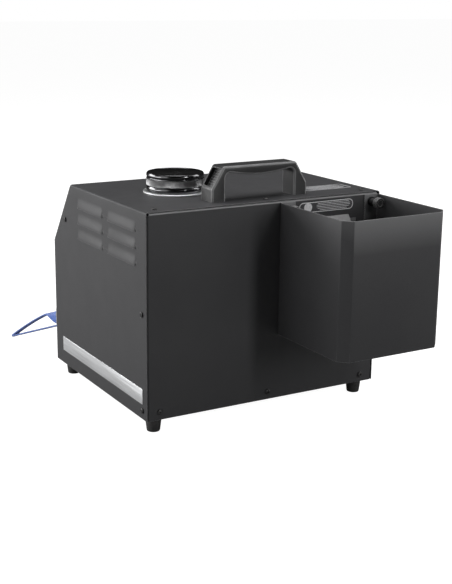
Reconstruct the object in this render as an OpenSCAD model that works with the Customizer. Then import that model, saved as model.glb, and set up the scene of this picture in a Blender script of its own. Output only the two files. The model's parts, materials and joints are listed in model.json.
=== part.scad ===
// Fog machine with a top filler cap, a carry handle and a lift-off haze deflector hood.
// Millimetres. +Z up, z = 0 on the floor, the hood faces -Y and the badge strip is on -X.
// The origin is the bottom centre of the whole machine's box, cable strap included.

/* [Node] */
// piece to build, or all of them

/* [Case] */
// width of the case
case_w = 370; // [366:1:420]
// height of the case, feet left out
case_h = 282; // [280:1:320]
// depth of the case at the bottom
case_d = 312; // [310:1:340]
// depth of the case at the top
top_d = 245; // [243:1:250]
// height at which the rear starts to slope
slope_h = 188; // [184:1:192]
// thickness of the sheet metal
sheet = 1.2; // [1:0.1:1.3]
// outer radius of the sheet's bends
bend_r = 3; // [2:0.5:4]

/* [Hood] */
// width of the deflector hood
hood_w = 164.5; // [160:0.5:165]
// height of the deflector hood
hood_h = 185; // [182:1:186]
// how far the hood stands out of the front
hood_d = 151.5; // [100:0.5:180]
// leg of the hood's chamfered corners
hood_corner = 12; // [6:1:20]
// width of the two flanges that lie on the front
hood_flange = 24; // [22:1:26]

/* [Filler] */
// diameter of the filler cap
cap_d = 81; // [76:0.5:84]
// height of the neck that the cap screws on to
neck_h = 18; // [16:1:26]
// rise of the cap for one turn
cap_pitch = 3; // [2:0.5:4]

/* [Handle] */
// length of the carry handle
handle_l = 151; // [148:1:158]
// thickness of the carry handle from front to back
handle_w = 31; // [28:1:36]
// height of the carry handle
handle_h = 47; // [44:1:56]

/* [Feet and strap] */
// height of the rubber feet
foot_h = 21; // [16:1:24]
// how far the cable strap reaches behind the case
strap_reach = 199.5; // [190:0.5:210]

/* [Louvres] */
// length of one louvre
louvre_l = 88; // [70:1:92]
// height of one louvre
louvre_h = 16; // [12:1:18]
// how far a louvre stands proud of the side
louvre_out = 4; // [3:0.5:5]
// distance between two rows
louvre_pitch = 22.5; // [20:0.5:24]

/* [Hidden] */
$fn = 48;
play = 0.1;       // gap between neighbours that are fastened together
through = 30;     // length of a cutter that passes right through a wall

y_front = hood_d - (hood_d + case_d + strap_reach) / 2;
y_rear = y_front + case_d;
y_top = y_front + top_d;
z_low = foot_h;
z_top = z_low + case_h;
z_slope = z_low + slope_h;
slope_a = atan2(z_top - z_slope, y_rear - y_top);
floor_z = z_low + sheet;              // top of the base tray's floor
inner_x = case_w / 2 - sheet;         // inside face of the cover's walls
panel_x = inner_x - 0.4;              // outside of the front and rear panels' flanges
panel_top = z_top - sheet - 0.4;      // top of the front and rear panels
tray_x = panel_x - bend_r;              // inside the front panel's bends
flange_d = 20;                        // depth of the panels' flanges
tray_flange_h = 18;

screw_r = 2;
screw_hole_r = 2.15;
screw_head_r = 3.8;
screw_head_h = 2.2;
screw_l = 10;
edge_screws_x = [-166, 3, 163];       // the screws along the top and bottom edges
edge_screw_in = 15;                   // how far the top ones are from the front
low_screw_z = z_low + 11;
side_screws = [[13, 145], [13, 12], [267, 227]];  // from the front, above the case's bottom
foot_in = 19;                         // the feet's distance from the case's edges
foot_seat = foot_h / 2;
foot_low_r = 9;
foot_top_r = 11.5;

hood_x = 100;
hood_z = z_low + 93;
hood_tab_x = 45;
hood_tab = [15, 8];                   // width and length of the two bottom tabs
thumb_dx = 70;                        // thumbscrews, left and right of the hood's middle
thumb_z = z_low + 268;
thumb_r = 7.8;
thumb_head_h = 8;
thumb_neck_r = 4.6;
thumb_neck_h = 12;
thumb_shaft_r = 2.42;
thumb_bore_r = 2.5;
washer_r = 6.5;
washer_h = 1;
nut_h = 6;

cap_x = 108 - case_w / 2;
cap_y = y_front + 125;
cap_bore_r = 35;
neck_r = cap_bore_r - 0.08;
neck_bore_r = 28;
neck_flange_r = 45;
neck_flange_h = 2;
spigot_r = 31;
spigot_l = 14;
rim_z = z_top + neck_flange_h + neck_h;
seal_h = 2;
liner_h = 2;
cap_skin = 4;
cap_low_z = z_top + neck_flange_h + 0.6;
cap_top_z = rim_z + seal_h + liner_h + cap_skin;

handle_y = y_front + 38.5;
handle_leg_w = 21;
handle_leg_x = (handle_l - handle_leg_w) / 2;
handle_shoulder = 17;                 // height where a leg's outside starts to slope in
handle_run = 18;                        // how far the slope runs in
handle_screw_r = 2.5;
handle_screw_up = 12;

outlet_z = z_low + 205;
outlet_r = 20;
coil_r = 4;
coil_bend = 10;                       // radius of the vapour coil's turns
block_w = 90;
block_d = 150;
block_h = 70;
block_y = y_front + 28;               // front face of the heater block
block_z = outlet_z - 55;
wrap = 15;                            // thickness of the insulation
cartridge_dx = 28;
cartridge_r = 5;
duct_top = z_low + 253;
duct_out = 45;
duct_w = 66;
duct_x = 284 - case_w / 2;
duct_tab = 12;

fan_x = 100;
fan_z = z_low + 105;
fan_size = 80;
fan_t = 25;
rotor_r = 36.5;
fan_hub_r = 16;
fan_y = y_rear - sheet - fan_t;       // front face of the fan

pump_x = 16;
pump_y = y_front + 150;
pump_z = z_low + 50;
pump_w = 40;
pump_l = 100;
pump_r = 11;
plunger_r = 6;

tank_w = 140;
tank_d = 190;
tank_h = 205;
tank_wall = 2.5;
tank_y = cap_y + 25;
tank_z = z_low + 40;
tank_port_y = tank_y + 80;
hose_r = 4.5;
hose_bore = 3;
hose_bend = 10;

board_w = 106;
board_d = 110;
board_y = y_front + 80;
board_z = floor_z + 10;
pcb = 1.6;

socket_z = z_low + 62;                // the row of rear sockets
inlet_x = -125;
switch_x = -72;
fuse_x = -38;
dmx_x = [0, 34];
rocker_tilt = 10;
rocker_deep = 5;                      // depth of the rocker's pivot behind the rear face
rocker_pin_r = 1.5;
strap_x = -174;
strap_z = z_low + 67;                 // height of the anchor, where the loop hangs
strap_w = 10;
strap_pin_out = 7.5;                  // from the rear face to the pin that the strap hangs on
strap_pin_r = 1.4;
strap_lean = 3;                       // the loop hangs slightly to the left
strap_l = (strap_reach - strap_pin_out - strap_w / 2 * sin(strap_lean)) / cos(strap_lean);

// the controls on the sloped face, x to the right as seen from behind
display_x = -45;
display_w = 64;
display_h = 26;
button_x = [14, 34, 54, 74];
button_r = 5;
button_out = 3;
button_travel = 0.8;
control_board_z = -12;

black = [0.13, 0.13, 0.14];
rubber = [0.05, 0.05, 0.05];
dark_zinc = [0.2, 0.2, 0.21];
steel = [0.7, 0.71, 0.73];
brass = [0.8, 0.65, 0.3];
milky = [0.9, 0.9, 0.86];
green = [0.08, 0.35, 0.18];
copper = [0.7, 0.35, 0.15];
blue = [0.2, 0.42, 0.75];

// ---- helpers ----

// points of an arc in the plane
function arc(cx, cy, r, a0, a1, n = 5) =
  [for (i = [0:n]) [cx + r * cos(a0 + (a1 - a0) * i / n), cy + r * sin(a0 + (a1 - a0) * i / n)]];

function backwards(list) = [for (i = [len(list) - 1:-1:0]) list[i]];

// a rectangle with round corners, centred
function round_rect(w, h, r) = concat(
  arc(w / 2 - r, h / 2 - r, r, 0, 90), arc(-w / 2 + r, h / 2 - r, r, 90, 180),
  arc(-w / 2 + r, -h / 2 + r, r, 180, 270), arc(w / 2 - r, -h / 2 + r, r, 270, 360));

// a smooth step from 0 to 1
function ease(t) = t * t * (3 - 2 * t);

// y of the rear face, moved inwards by d, at height z on the slope
function slope_y(d, z) =
  y_rear - d - (z - (z_slope - d * tan((90 - slope_a) / 2))) / tan(slope_a);

// an outline in X and Z, extruded from y0 to y1
module along_y(y0, y1) {
  translate([0, y1, 0]) rotate([90, 0, 0]) linear_extrude(y1 - y0) children();
}

// an outline in Y and Z, extruded from x0 to x1
module along_x(x0, x1) {
  translate([x0, 0, 0]) rotate([90, 0, 90]) linear_extrude(x1 - x0) children();
}

// a round bar along Y from y0 to y1
module bar_y(x, z, r, y0, y1) {
  translate([x, y0, z]) rotate([-90, 0, 0]) cylinder(h = y1 - y0, r = r);
}

// local +Z is the outward normal of the front, the rear or the sloped face, local +Y is up
module on_front(x, z) { translate([x, y_front, z]) rotate([90, 0, 0]) children(); }
module on_rear(x, z) { translate([x, y_rear, z]) rotate([90, 0, 180]) children(); }
module on_slope(x) {
  translate([0, (y_rear + y_top) / 2, (z_slope + z_top) / 2])
    rotate([slope_a, 0, 180]) translate([x, 0, 0]) children();
}

// a block centred in X and Y, standing on z = 0
module slab(w, d, h) { translate([-w / 2, -d / 2, 0]) cube([w, d, h]); }

// a flat ring standing on z = 0
module ring(r_out, r_in, h) {
  difference() {
    cylinder(h = h, r = r_out);
    translate([0, 0, -1]) cylinder(h = h + 2, r = r_in);
  }
}

// a pan head screw whose head stands on z = 0 and whose shaft points down
module screw(head_r, head_h, r, l) {
  cylinder(h = head_h, r = head_r);
  translate([0, 0, -l]) cylinder(h = l + 0.5, r = r);
}

// puts its children at each screw of the case, with the head's seat at z = 0
module at_case_screws() {
  for (x = edge_screws_x) {
    translate([x, y_front + edge_screw_in, z_top]) children();
    on_front(x, low_screw_z) children();
    on_rear(x, low_screw_z) children();
  }
  for (s = [-1, 1], p = side_screws)
    translate([s * case_w / 2, y_front + p[0], z_low + p[1]]) rotate([0, s * 90, 0]) children();
}

module at_feet() {
  for (x = [-1, 1], y = [y_front + foot_in, y_rear - foot_in])
    translate([x * (case_w / 2 - foot_in), y, 0]) children();
}

module at_thumbscrew(side) {
  on_front(hood_x + side * thumb_dx, thumb_z) children();
}

module screw_holes() {
  at_case_screws() translate([0, 0, -through / 2]) cylinder(h = through, r = screw_hole_r);
}

// ---- case ----

// the cover's section, an upside-down U: half width w, top at z, bend radius r
function cover_path(w, z, r) = concat(
  [[-w, z_low]], arc(-w + r, z - r, r, 180, 90), arc(w - r, z - r, r, 90, 0), [[w, z_low]]);

// a louvre's outer curve: proud at the bottom, flush at the top, moved inwards by d
function louvre_curve(d, n = 6) =
  [for (i = [0:n]) [d - case_w / 2 - louvre_out * ease(1 - i / n), louvre_h * i / n]];

// places its children at the six louvres of both sides, bottom edge at z = 0
module at_louvres() {
  for (s = [0, 1], from_front = [28.5, 132], row = [0:2])
    mirror([s, 0, 0])
      translate([0, y_front + from_front, z_low + 268 - louvre_h - row * louvre_pitch]) children();
}

module louvre_skin() {
  along_y(0, louvre_l)
    polygon(concat(louvre_curve(0), [[-inner_x - 0.4, louvre_h], [-inner_x - 0.4, 0]]));
}

// the hollow behind a louvre, open at the bottom
module louvre_hollow() {
  below = 0.6;                        // height of the slot under the lip
  along_y(sheet, louvre_l - sheet) polygon(concat(
    louvre_curve(sheet),
    [[1 - inner_x, louvre_h], [1 - inner_x, 0], [-case_w / 2, 0], [-case_w / 2, -below],
     [sheet - case_w / 2 - louvre_out, -below]]));
}

module cover() {
  color(black) difference() {
    union() {
      intersection() {
        along_y(y_front, y_rear) polygon(concat(
          cover_path(case_w / 2, z_top, bend_r),
          backwards(cover_path(inner_x, z_top - sheet, bend_r - sheet))));
        along_x(-case_w / 2 - 1, case_w / 2 + 1)
          polygon([[y_front, z_low - 1], [y_rear, z_low - 1], [y_rear, z_slope],
                   [y_top, z_top], [slope_y(0, z_top + 1), z_top + 1], [y_front, z_top + 1]]);
      }
      at_louvres() louvre_skin();
    }
    at_louvres() louvre_hollow();
    translate([cap_x, cap_y, z_top - through / 2]) cylinder(h = through, r = spigot_r + 0.2);
    for (s = [-1, 1]) translate([s * handle_leg_x, handle_y, z_top - through / 2])
      cylinder(h = through, r = handle_screw_r + 0.2);
    screw_holes();
  }
}

// the front panel's section, a U lying on its back: half width w, front at y, bend radius r
function front_path(w, y, r) = concat(
  [[-w, y_front + flange_d]], arc(-w + r, y + r, r, 180, 270),
  arc(w - r, y + r, r, 270, 360), [[w, y_front + flange_d]]);

module front_panel() {
  bend_z = panel_top - bend_r;
  color(black) difference() {
    union() {
      translate([0, 0, z_low]) linear_extrude(bend_z - z_low) polygon(concat(
        front_path(panel_x, y_front, bend_r),
        backwards(front_path(panel_x - sheet, y_front + sheet, bend_r - sheet))));
      // the top flange, with a notch at each end where the bends meet
      along_x(bend_r - panel_x, panel_x - bend_r) polygon(concat(
        [[y_front, bend_z - 1]],
        arc(y_front + bend_r, bend_z, bend_r, 180, 90),
        [[y_front + flange_d, panel_top], [y_front + flange_d, panel_top - sheet]],
        arc(y_front + bend_r, bend_z, bend_r - sheet, 90, 180),
        [[y_front + sheet, bend_z - 1]]));
    }
    screw_holes();
    on_front(duct_x, outlet_z) translate([0, 0, -through / 2]) cylinder(h = through, r = outlet_r);
    for (s = [-1, 1]) {
      at_thumbscrew(s) translate([0, 0, -through / 2]) cylinder(h = through, r = thumb_bore_r + 0.3);
      translate([hood_x + s * hood_tab_x, y_front, hood_z + sheet / 2])
        cube([hood_tab[0] + 1, 3 * sheet, sheet + 0.8], center = true);
    }
    at_duct_screws() translate([0, 0, -5]) cylinder(h = 10, r = 1.65);
  }
}

// cuts the openings of the vertical rear face
module rear_cuts() {
  on_rear(inlet_x, socket_z) translate([0, 0, -5]) slab(27.4, 20.2, 10);
  on_rear(switch_x, socket_z) translate([0, 0, -5]) slab(22.2, 30.2, 10);
  on_rear(fuse_x, socket_z) translate([0, 0, -5]) cylinder(h = 10, r = 6.6);
  for (x = dmx_x) on_rear(x, socket_z) translate([0, 0, -5]) cylinder(h = 10, r = 12.1);
  on_rear(fan_x, fan_z) translate([0, 0, -5]) cylinder(h = 10, r = rotor_r + 1);
  on_rear(strap_x, strap_z) translate([0, 0, -5]) cylinder(h = 10, r = 2.15);
}

module rear_panel() {
  color(black) difference() {
    union() {
      along_x(-panel_x, panel_x) polygon([
        [y_rear, z_low], [y_rear, z_slope], [slope_y(0, panel_top), panel_top],
        [slope_y(0, panel_top) - flange_d, panel_top],
        [slope_y(0, panel_top) - flange_d, panel_top - sheet],
        [slope_y(sheet, panel_top - sheet), panel_top - sheet],
        [slope_y(sheet, z_slope - sheet * tan((90 - slope_a) / 2)), z_slope - sheet * tan((90 - slope_a) / 2)],
        [y_rear - sheet, z_low]]);
      for (s = [-1, 1]) along_x(s * (panel_x - sheet / 2) - sheet / 2, s * (panel_x - sheet / 2) + sheet / 2)
        polygon([[y_rear, z_low], [y_rear, z_slope], [slope_y(0, panel_top), panel_top],
                 [slope_y(0, panel_top) - flange_d, panel_top],
                 [slope_y(flange_d, z_slope - flange_d / 2), z_slope - flange_d / 2],
                 [y_rear - flange_d, z_low]]);
    }
    // the top corners, clear of the inside of the cover's bends
    for (s = [-1, 1]) translate([s * panel_x, 0, panel_top]) rotate([0, 45, 0])
      cube([bend_r / 2, 3 * case_d, bend_r / 2], center = true);
    screw_holes();
    rear_cuts();
    on_slope(display_x) translate([0, 0, -5]) slab(display_w + 0.4, display_h + 0.4, 10);
    for (x = button_x) on_slope(x) translate([0, 0, -5]) cylinder(h = 10, r = button_r + 0.15);
  }
}

module base_tray() {
  y0 = y_front + sheet + play;
  y1 = y_rear - sheet - play;
  side = flange_d + 2;
  color(black) difference() {
    union() {
      translate([-tray_x, y0, z_low]) cube([2 * tray_x, y1 - y0, sheet]);
      for (y = [y0, y1 - sheet]) translate([-tray_x, y, z_low]) cube([2 * tray_x, sheet, tray_flange_h]);
      for (x = [-tray_x, tray_x - sheet])
        translate([x, y_front + side, z_low]) cube([sheet, case_d - 2 * side, tray_flange_h]);
    }
    screw_holes();
    at_feet() cylinder(h = through, r = screw_hole_r);
  }
}

module case_screws() {
  color(dark_zinc) {
    at_case_screws() screw(screw_head_r, screw_head_h, screw_r, screw_l);
    at_feet() translate([0, 0, foot_seat]) rotate([180, 0, 0])
      screw(screw_head_r, screw_head_h, screw_r, screw_l);
  }
}

module rubber_feet() {
  color(rubber) at_feet() difference() {
    cylinder(h = foot_h, r1 = foot_low_r, r2 = foot_top_r);
    translate([0, 0, -1]) cylinder(h = foot_seat + 1, r = screw_head_r + 0.4);
    cylinder(h = foot_h + 1, r = screw_hole_r);
  }
}

// ---- handle, strip and labels ----

module carry_handle() {
  half = handle_l / 2;
  open_x = half - handle_leg_w;
  belly = 5;                          // how far the grip bulges down in its middle
  open_h = handle_h - 9;
  color(rubber) difference() {
    along_y(handle_y - handle_w / 2, handle_y + handle_w / 2) translate([0, z_top])
      difference() {
        polygon([[-half, 0], [-half, handle_shoulder], [-half + handle_run, handle_h],
                 [half - handle_run, handle_h], [half, handle_shoulder], [half, 0]]);
        polygon(concat(
          [[-open_x, -1]], arc(-open_x + 7, open_h - 7, 7, 180, 90),
          [for (i = [1:9]) let (t = i / 10) [(2 * t - 1) * (open_x - 7), open_h - belly * sin(180 * t)]],
          arc(open_x - 7, open_h - 7, 7, 90, 0), [[open_x, -1]]));
      }
    for (s = [-1, 1]) {
      translate([s * handle_leg_x, handle_y, z_top - 1]) cylinder(h = handle_screw_up + 2, r = handle_screw_r + 0.05);
    }
    for (s = [0, 1]) mirror([s, 0, 0]) along_y(handle_y - handle_w / 2 + 6, handle_y + handle_w / 2 - 6)
      translate([half, z_top]) polygon(channel_outline());
  }
}

// the recess in the sloped outside of a leg, from the leg's outer corner
function channel_outline() =
  let (rise = handle_h - handle_shoulder, deep = 5)
  [for (p = [[0.08, 1], [0.9, 1], [0.9, -deep], [0.08, -deep]])
    [p[1] - handle_run * p[0], handle_shoulder + rise * p[0] + p[1]]];

module handle_screws() {
  color(steel) for (s = [-1, 1]) translate([s * handle_leg_x, handle_y, z_top - sheet])
    rotate([180, 0, 0]) screw(4.5, 3.4, handle_screw_r, handle_screw_up);
}

module side_strip() {
  color(steel) translate([-case_w / 2 - 0.8, y_front + 12, z_low + 21]) cube([0.8, 273, 21.5]);
}

module warning_labels() {
  color(steel) {
    translate([313.5 - case_w / 2, y_front + 56, z_top]) linear_extrude(0.3) polygon(round_rect(77, 32, 3));
    on_front(278.5 - case_w / 2, z_low + 267.5) linear_extrude(0.3) polygon(round_rect(91, 15, 7));
  }
}

// ---- filler and tank ----

module at_cap(z) { translate([cap_x, cap_y, z]) children(); }

module filler_neck() {
  color(steel) at_cap(z_top) difference() {
    union() {
      cylinder(h = neck_flange_h, r = neck_flange_r);
      cylinder(h = neck_flange_h + neck_h, r = neck_r);
      translate([0, 0, -spigot_l]) cylinder(h = spigot_l + 1, r = spigot_r);
    }
    translate([0, 0, -spigot_l - 1]) cylinder(h = spigot_l + neck_h + neck_flange_h + 2, r = neck_bore_r);
  }
}

module neck_nut() {
  color(steel) at_cap(z_top - sheet - 6) ring(38, spigot_r + 0.05, 6);
}

module cap_seal() {
  color(rubber) at_cap(rim_z) ring(34.5, neck_bore_r + 0.5, seal_h);
}

module cap_liner() {
  color(milky) at_cap(rim_z + seal_h) cylinder(h = liner_h, r = 34.6);
}

module filler_cap() {
  r = cap_d / 2;
  h = cap_top_z - cap_low_z;
  color(black) at_cap(cap_low_z) rotate_extrude()
    polygon([[0, h - cap_skin], [cap_bore_r, h - cap_skin], [cap_bore_r, 0], [r - 0.8, 0], [r, 0.8],
             [r, 5.5], [r - 0.6, 6], [r - 0.6, h - 6], [r, h - 5.5], [r, h - 1], [r - 1, h], [r - 3, h], [0, h - 1.2]]);
}

module fluid_tank() {
  color(milky) difference() {
    union() {
      translate([cap_x, tank_y, tank_z]) linear_extrude(tank_h) polygon(round_rect(tank_w, tank_d, 12));
      at_cap(tank_z + tank_h - 1) cylinder(h = z_top - sheet - 8 - (tank_z + tank_h - 1), r = spigot_r + 3);
      translate([cap_x + tank_w / 2 - 1, tank_port_y, pump_z]) rotate([0, 90, 0]) cylinder(h = 9, r = hose_bore - 0.1);
    }
    translate([cap_x, tank_y, tank_z + tank_wall]) linear_extrude(tank_h - 2 * tank_wall)
      polygon(round_rect(tank_w - 2 * tank_wall, tank_d - 2 * tank_wall, 12 - tank_wall));
    at_cap(tank_z + tank_h - tank_wall - 1) cylinder(h = 60, r = spigot_r + 0.2);
    translate([cap_x + tank_w / 2 - 6, tank_port_y, pump_z]) rotate([0, 90, 0]) cylinder(h = 20, r = 1.6);
  }
}

module tank_stand() {
  w = tank_w - 10;
  d = tank_d - 20;
  color(steel) translate([cap_x, tank_y, floor_z]) difference() {
    slab(w, d, tank_z - floor_z);
    translate([0, 0, -1]) slab(w - 2 * sheet, d + 2, tank_z - floor_z - sheet + 1);
  }
}

// ---- pump and hoses ----

module at_pump() { translate([pump_x, pump_y, pump_z]) rotate([-90, 0, 0]) children(); }

module pump_body() {
  half = pump_l / 2;
  color(black) at_pump() difference() {
    union() {
      translate([0, 0, 6 - half]) cylinder(h = pump_l - 12, r = pump_r);
      translate([0, 0, -half - 6]) cylinder(h = pump_l + 12, r = hose_bore - 0.1);
    }
    translate([0, 0, -30]) cylinder(h = 60, r = plunger_r);
    translate([0, 0, -half - 7]) cylinder(h = pump_l + 14, r = 1.6);
  }
}

module pump_coil() {
  color(copper) at_pump() translate([0, 0, -17]) ring(17, pump_r + play, 34);
}

module pump_frame() {
  color(steel) translate([pump_x, pump_y, pump_z]) difference() {
    translate([-pump_w / 2, -19, -19]) cube([pump_w, 38, 38]);
    translate([-pump_w / 2 - 1, -17, -17.2]) cube([pump_w + 2, 34, 34.4]);
    rotate([90, 0, 0]) cylinder(h = 60, r = pump_r + play, center = true);
  }
}

module pump_bracket() {
  h = pump_z - 19 - floor_z;
  color(steel) translate([pump_x, pump_y, floor_z]) difference() {
    slab(34, 36, h);
    translate([0, sheet, sheet]) slab(36, 36, h - 2 * sheet);
  }
}

module pump_piston() {
  color(steel) at_pump() translate([0, 0, -12]) ring(plunger_r - 0.08, 2, 24);
}

module pump_spring() {
  color(steel) at_pump() for (z = [-27, 14.5]) translate([0, 0, z]) ring(5, 4, 12.5);
}

// a hose bend in the XY plane from +X to -Y about the origin
module hose_turn(r) {
  rotate_extrude(angle = 90) translate([hose_bend, 0]) circle(r);
}

module suction_path(r, over) {
  start = cap_x + tank_w / 2 + 2;
  barb = pump_y + pump_l / 2 + 1;
  translate([start - over, tank_port_y, pump_z]) rotate([0, 90, 0])
    cylinder(h = pump_x - hose_bend - start + over, r = r);
  translate([pump_x - hose_bend, tank_port_y - hose_bend, pump_z]) hose_turn(r);
  bar_y(pump_x, pump_z, r, barb - over, tank_port_y - hose_bend);
}

module suction_tube() {
  color(milky) difference() {
    suction_path(hose_r, 0);
    suction_path(hose_bore, 1);
  }
}

module delivery_path(r, over) {
  barb = pump_y - pump_l / 2 - 1;
  low_y = barb - 22;
  coil_end = block_y + block_d + wrap + 10;
  high_z = outlet_z - 4 * coil_bend;
  // along the floor to the front, up beside the heater, back to its rear end
  bar_y(pump_x, pump_z, r, low_y, barb + over);
  translate([pump_x, low_y, pump_z + hose_bend]) rotate([0, 90, 0]) rotate([0, 0, 180])
    rotate_extrude(angle = 90) translate([hose_bend, 0]) circle(r);
  translate([pump_x, low_y - hose_bend, pump_z + hose_bend]) cylinder(h = high_z - pump_z - 2 * hose_bend, r = r);
  translate([pump_x, low_y, high_z - hose_bend]) rotate([0, 90, 0]) rotate([0, 0, 180])
    mirror([1, 0, 0]) rotate_extrude(angle = 90) translate([hose_bend, 0]) circle(r);
  bar_y(pump_x, high_z, r, low_y, coil_end - hose_bend + 4);
  translate([pump_x + hose_bend, coil_end - hose_bend + 4, high_z]) rotate([0, 0, 90]) hose_turn(r);
  translate([pump_x + hose_bend, coil_end + 4, high_z]) rotate([0, 90, 0])
    cylinder(h = duct_x - pump_x - hose_bend - 6 + over, r = r);
}

module delivery_tube() {
  color(milky) difference() {
    delivery_path(hose_r, 0);
    delivery_path(hose_bore, 1);
  }
}

// ---- heater and outlet ----

// three passes of pipe, one above the other, from the rear inlet to the front outlet
module coil_path(r) {
  low = outlet_z - 4 * coil_bend;
  front = block_y + 22;
  back = block_y + block_d - 32;
  inlet_y = block_y + block_d + wrap + 6;
  bar_y(duct_x, low, r, front, inlet_y);
  bar_y(duct_x, low + 2 * coil_bend, r, front, back);
  bar_y(duct_x, outlet_z, r, block_y, back);
  translate([duct_x, front, low + coil_bend]) rotate([0, 90, 0]) rotate([0, 0, 180])
    rotate_extrude(angle = 180) translate([coil_bend, 0]) circle(r);
  translate([duct_x, back, low + 3 * coil_bend]) rotate([0, 90, 0])
    rotate_extrude(angle = 180) translate([coil_bend, 0]) circle(r);
}

module at_cartridges() {
  for (s = [-1, 1]) translate([duct_x + s * cartridge_dx, block_y + 12, block_z + block_h / 2])
    rotate([-90, 0, 0]) children();
}

module heater_block() {
  color(steel) difference() {
    translate([duct_x, block_y + block_d / 2, block_z]) slab(block_w, block_d, block_h);
    coil_path(coil_r + 0.05);
    at_cartridges() cylinder(h = block_d, r = cartridge_r + 0.05);
  }
}

module vapour_coil() {
  color(steel) coil_path(coil_r);
}

module heater_cartridges() {
  color(brass) at_cartridges() cylinder(h = block_d - 2, r = cartridge_r);
}

module heater_insulation() {
  color(milky) difference() {
    translate([duct_x, block_y + block_d / 2, block_z - wrap]) slab(block_w + 2 * wrap, block_d + 2 * wrap, block_h + 2 * wrap);
    translate([duct_x, block_y + block_d / 2, block_z]) slab(block_w, block_d, block_h);
    bar_y(duct_x, outlet_z, 12, block_y - through, block_y + 5);
    bar_y(duct_x, outlet_z - 4 * coil_bend, 12, block_y + block_d - 5, block_y + block_d + through);
    at_cartridges() cylinder(h = block_d + through, r = cartridge_r + 2);
    translate([duct_x, block_y + block_d / 2, block_z + block_h - 1]) cylinder(h = through, r = 14);
  }
}

module heater_frame() {
  w = block_w + 2 * wrap;
  h = block_z - wrap - floor_z;
  color(steel) translate([duct_x, block_y + block_d / 2, floor_z]) difference() {
    slab(w, block_d, h);
    translate([0, 0, -1]) slab(w - 2 * sheet, block_d + 2, h - sheet + 1);
  }
}

module thermostat() {
  color(black) translate([duct_x, block_y + block_d / 2, block_z + block_h]) {
    cylinder(h = 5, r = 9);
    cylinder(h = 10, r = 7);
    for (s = [-1, 1]) translate([s * 4, 0, 9]) slab(0.8, 6, 9);
  }
}

module outlet_nozzle() {
  color(brass) difference() {
    union() {
      bar_y(duct_x, outlet_z, 11, block_y - 5, block_y);
      bar_y(duct_x, outlet_z, 7, y_front - 6, block_y - 1);
    }
    bar_y(duct_x, outlet_z, 1.5, y_front - 10, block_y + 1);
  }
}

module at_duct_screws() {
  for (s = [-1, 1]) on_front(duct_x + s * (duct_w / 2 + duct_tab / 2), duct_top - 16) children();
}

// a sloping roof over the outlet with two cheeks, screwed on by a tab at each side
module outlet_duct() {
  drop = duct_out * 10 / 7;
  roof = sheet * 1.22;                // the roof's thickness measured along Z
  color(steel) difference() {
    union() {
      along_x(duct_x - duct_w / 2, duct_x + duct_w / 2)
        polygon([[y_front, duct_top], [y_front - duct_out, duct_top - drop],
                 [y_front - duct_out, duct_top - drop - 2 * roof], [y_front, duct_top - 2 * roof]]);
      for (x = [duct_x - duct_w / 2, duct_x + duct_w / 2 - sheet]) along_x(x, x + sheet)
        polygon([[y_front, duct_top], [y_front - duct_out, duct_top - drop],
                 [y_front - duct_out, duct_top - drop - 14], [y_front, duct_top - drop - 14]]);
      for (s = [-1, 1]) translate([duct_x + s * (duct_w + duct_tab) / 2 - duct_tab / 2, y_front - sheet, duct_top - 26])
        cube([duct_tab, sheet, 20]);
    }
    at_duct_screws() translate([0, 0, -5]) cylinder(h = 10, r = 1.65);
  }
}

module duct_screws() {
  color(steel) at_duct_screws() translate([0, 0, sheet]) screw(3, 1.8, 1.5, 7);
}

// ---- hood ----

// outline of the hood seen from above, moved inwards by d
function hood_outline(d) =
  let (w = hood_w / 2 - d, c = hood_corner - d * (2 - sqrt(2)), y = y_front - hood_d + d)
  [[-w, y_front], [-w, y + c], [c - w, y], [w - c, y], [w, y + c], [w, y_front]];

module hood() {
  color(black) translate([hood_x, 0, hood_z]) difference() {
    union() {
      linear_extrude(hood_h) polygon(hood_outline(0));
      for (s = [-1, 1]) translate([s * hood_tab_x - hood_tab[0] / 2, y_front - 1, 0])
        cube([hood_tab[0], hood_tab[1] + 1, sheet]);
    }
    translate([0, 0, sheet]) linear_extrude(hood_h) intersection() {
      polygon(hood_outline(sheet));
      translate([-hood_w, y_front - hood_d]) square([2 * hood_w, hood_d - sheet]);
    }
    translate([hood_flange - hood_w / 2, y_front - sheet - 1, sheet])
      cube([hood_w - 2 * hood_flange, sheet + 2, hood_h]);
    for (s = [-1, 1]) translate([s * thumb_dx, y_front + 1, thumb_z - hood_z]) rotate([90, 0, 0])
      cylinder(h = 4, r = thumb_bore_r + 0.3);
  }
}

module hood_nuts() {
  color(steel) for (s = [-1, 1]) at_thumbscrew(s) translate([0, 0, -sheet - nut_h]) ring(6, thumb_bore_r, nut_h);
}

module thumb_washer(side) {
  color(steel) at_thumbscrew(side) translate([0, 0, sheet]) ring(washer_r, thumb_bore_r + 0.2, washer_h);
}

module thumbscrew(side) {
  shaft = sheet + washer_h + sheet + nut_h;
  color(rubber) at_thumbscrew(side) translate([0, 0, sheet + washer_h]) {
    cylinder(h = thumb_neck_h, r = thumb_neck_r);
    translate([0, 0, thumb_neck_h]) difference() {
      cylinder(h = thumb_head_h, r = thumb_r);
      translate([0, 0, thumb_head_h - 1]) cylinder(h = 2, r = 4);
    }
    translate([0, 0, -shaft]) cylinder(h = shaft + 1, r = thumb_shaft_r);
  }
}

module left_washer() { thumb_washer(-1); }
module right_washer() { thumb_washer(1); }
module left_thumbscrew() { thumbscrew(-1); }
module right_thumbscrew() { thumbscrew(1); }

// ---- fan ----

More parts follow.
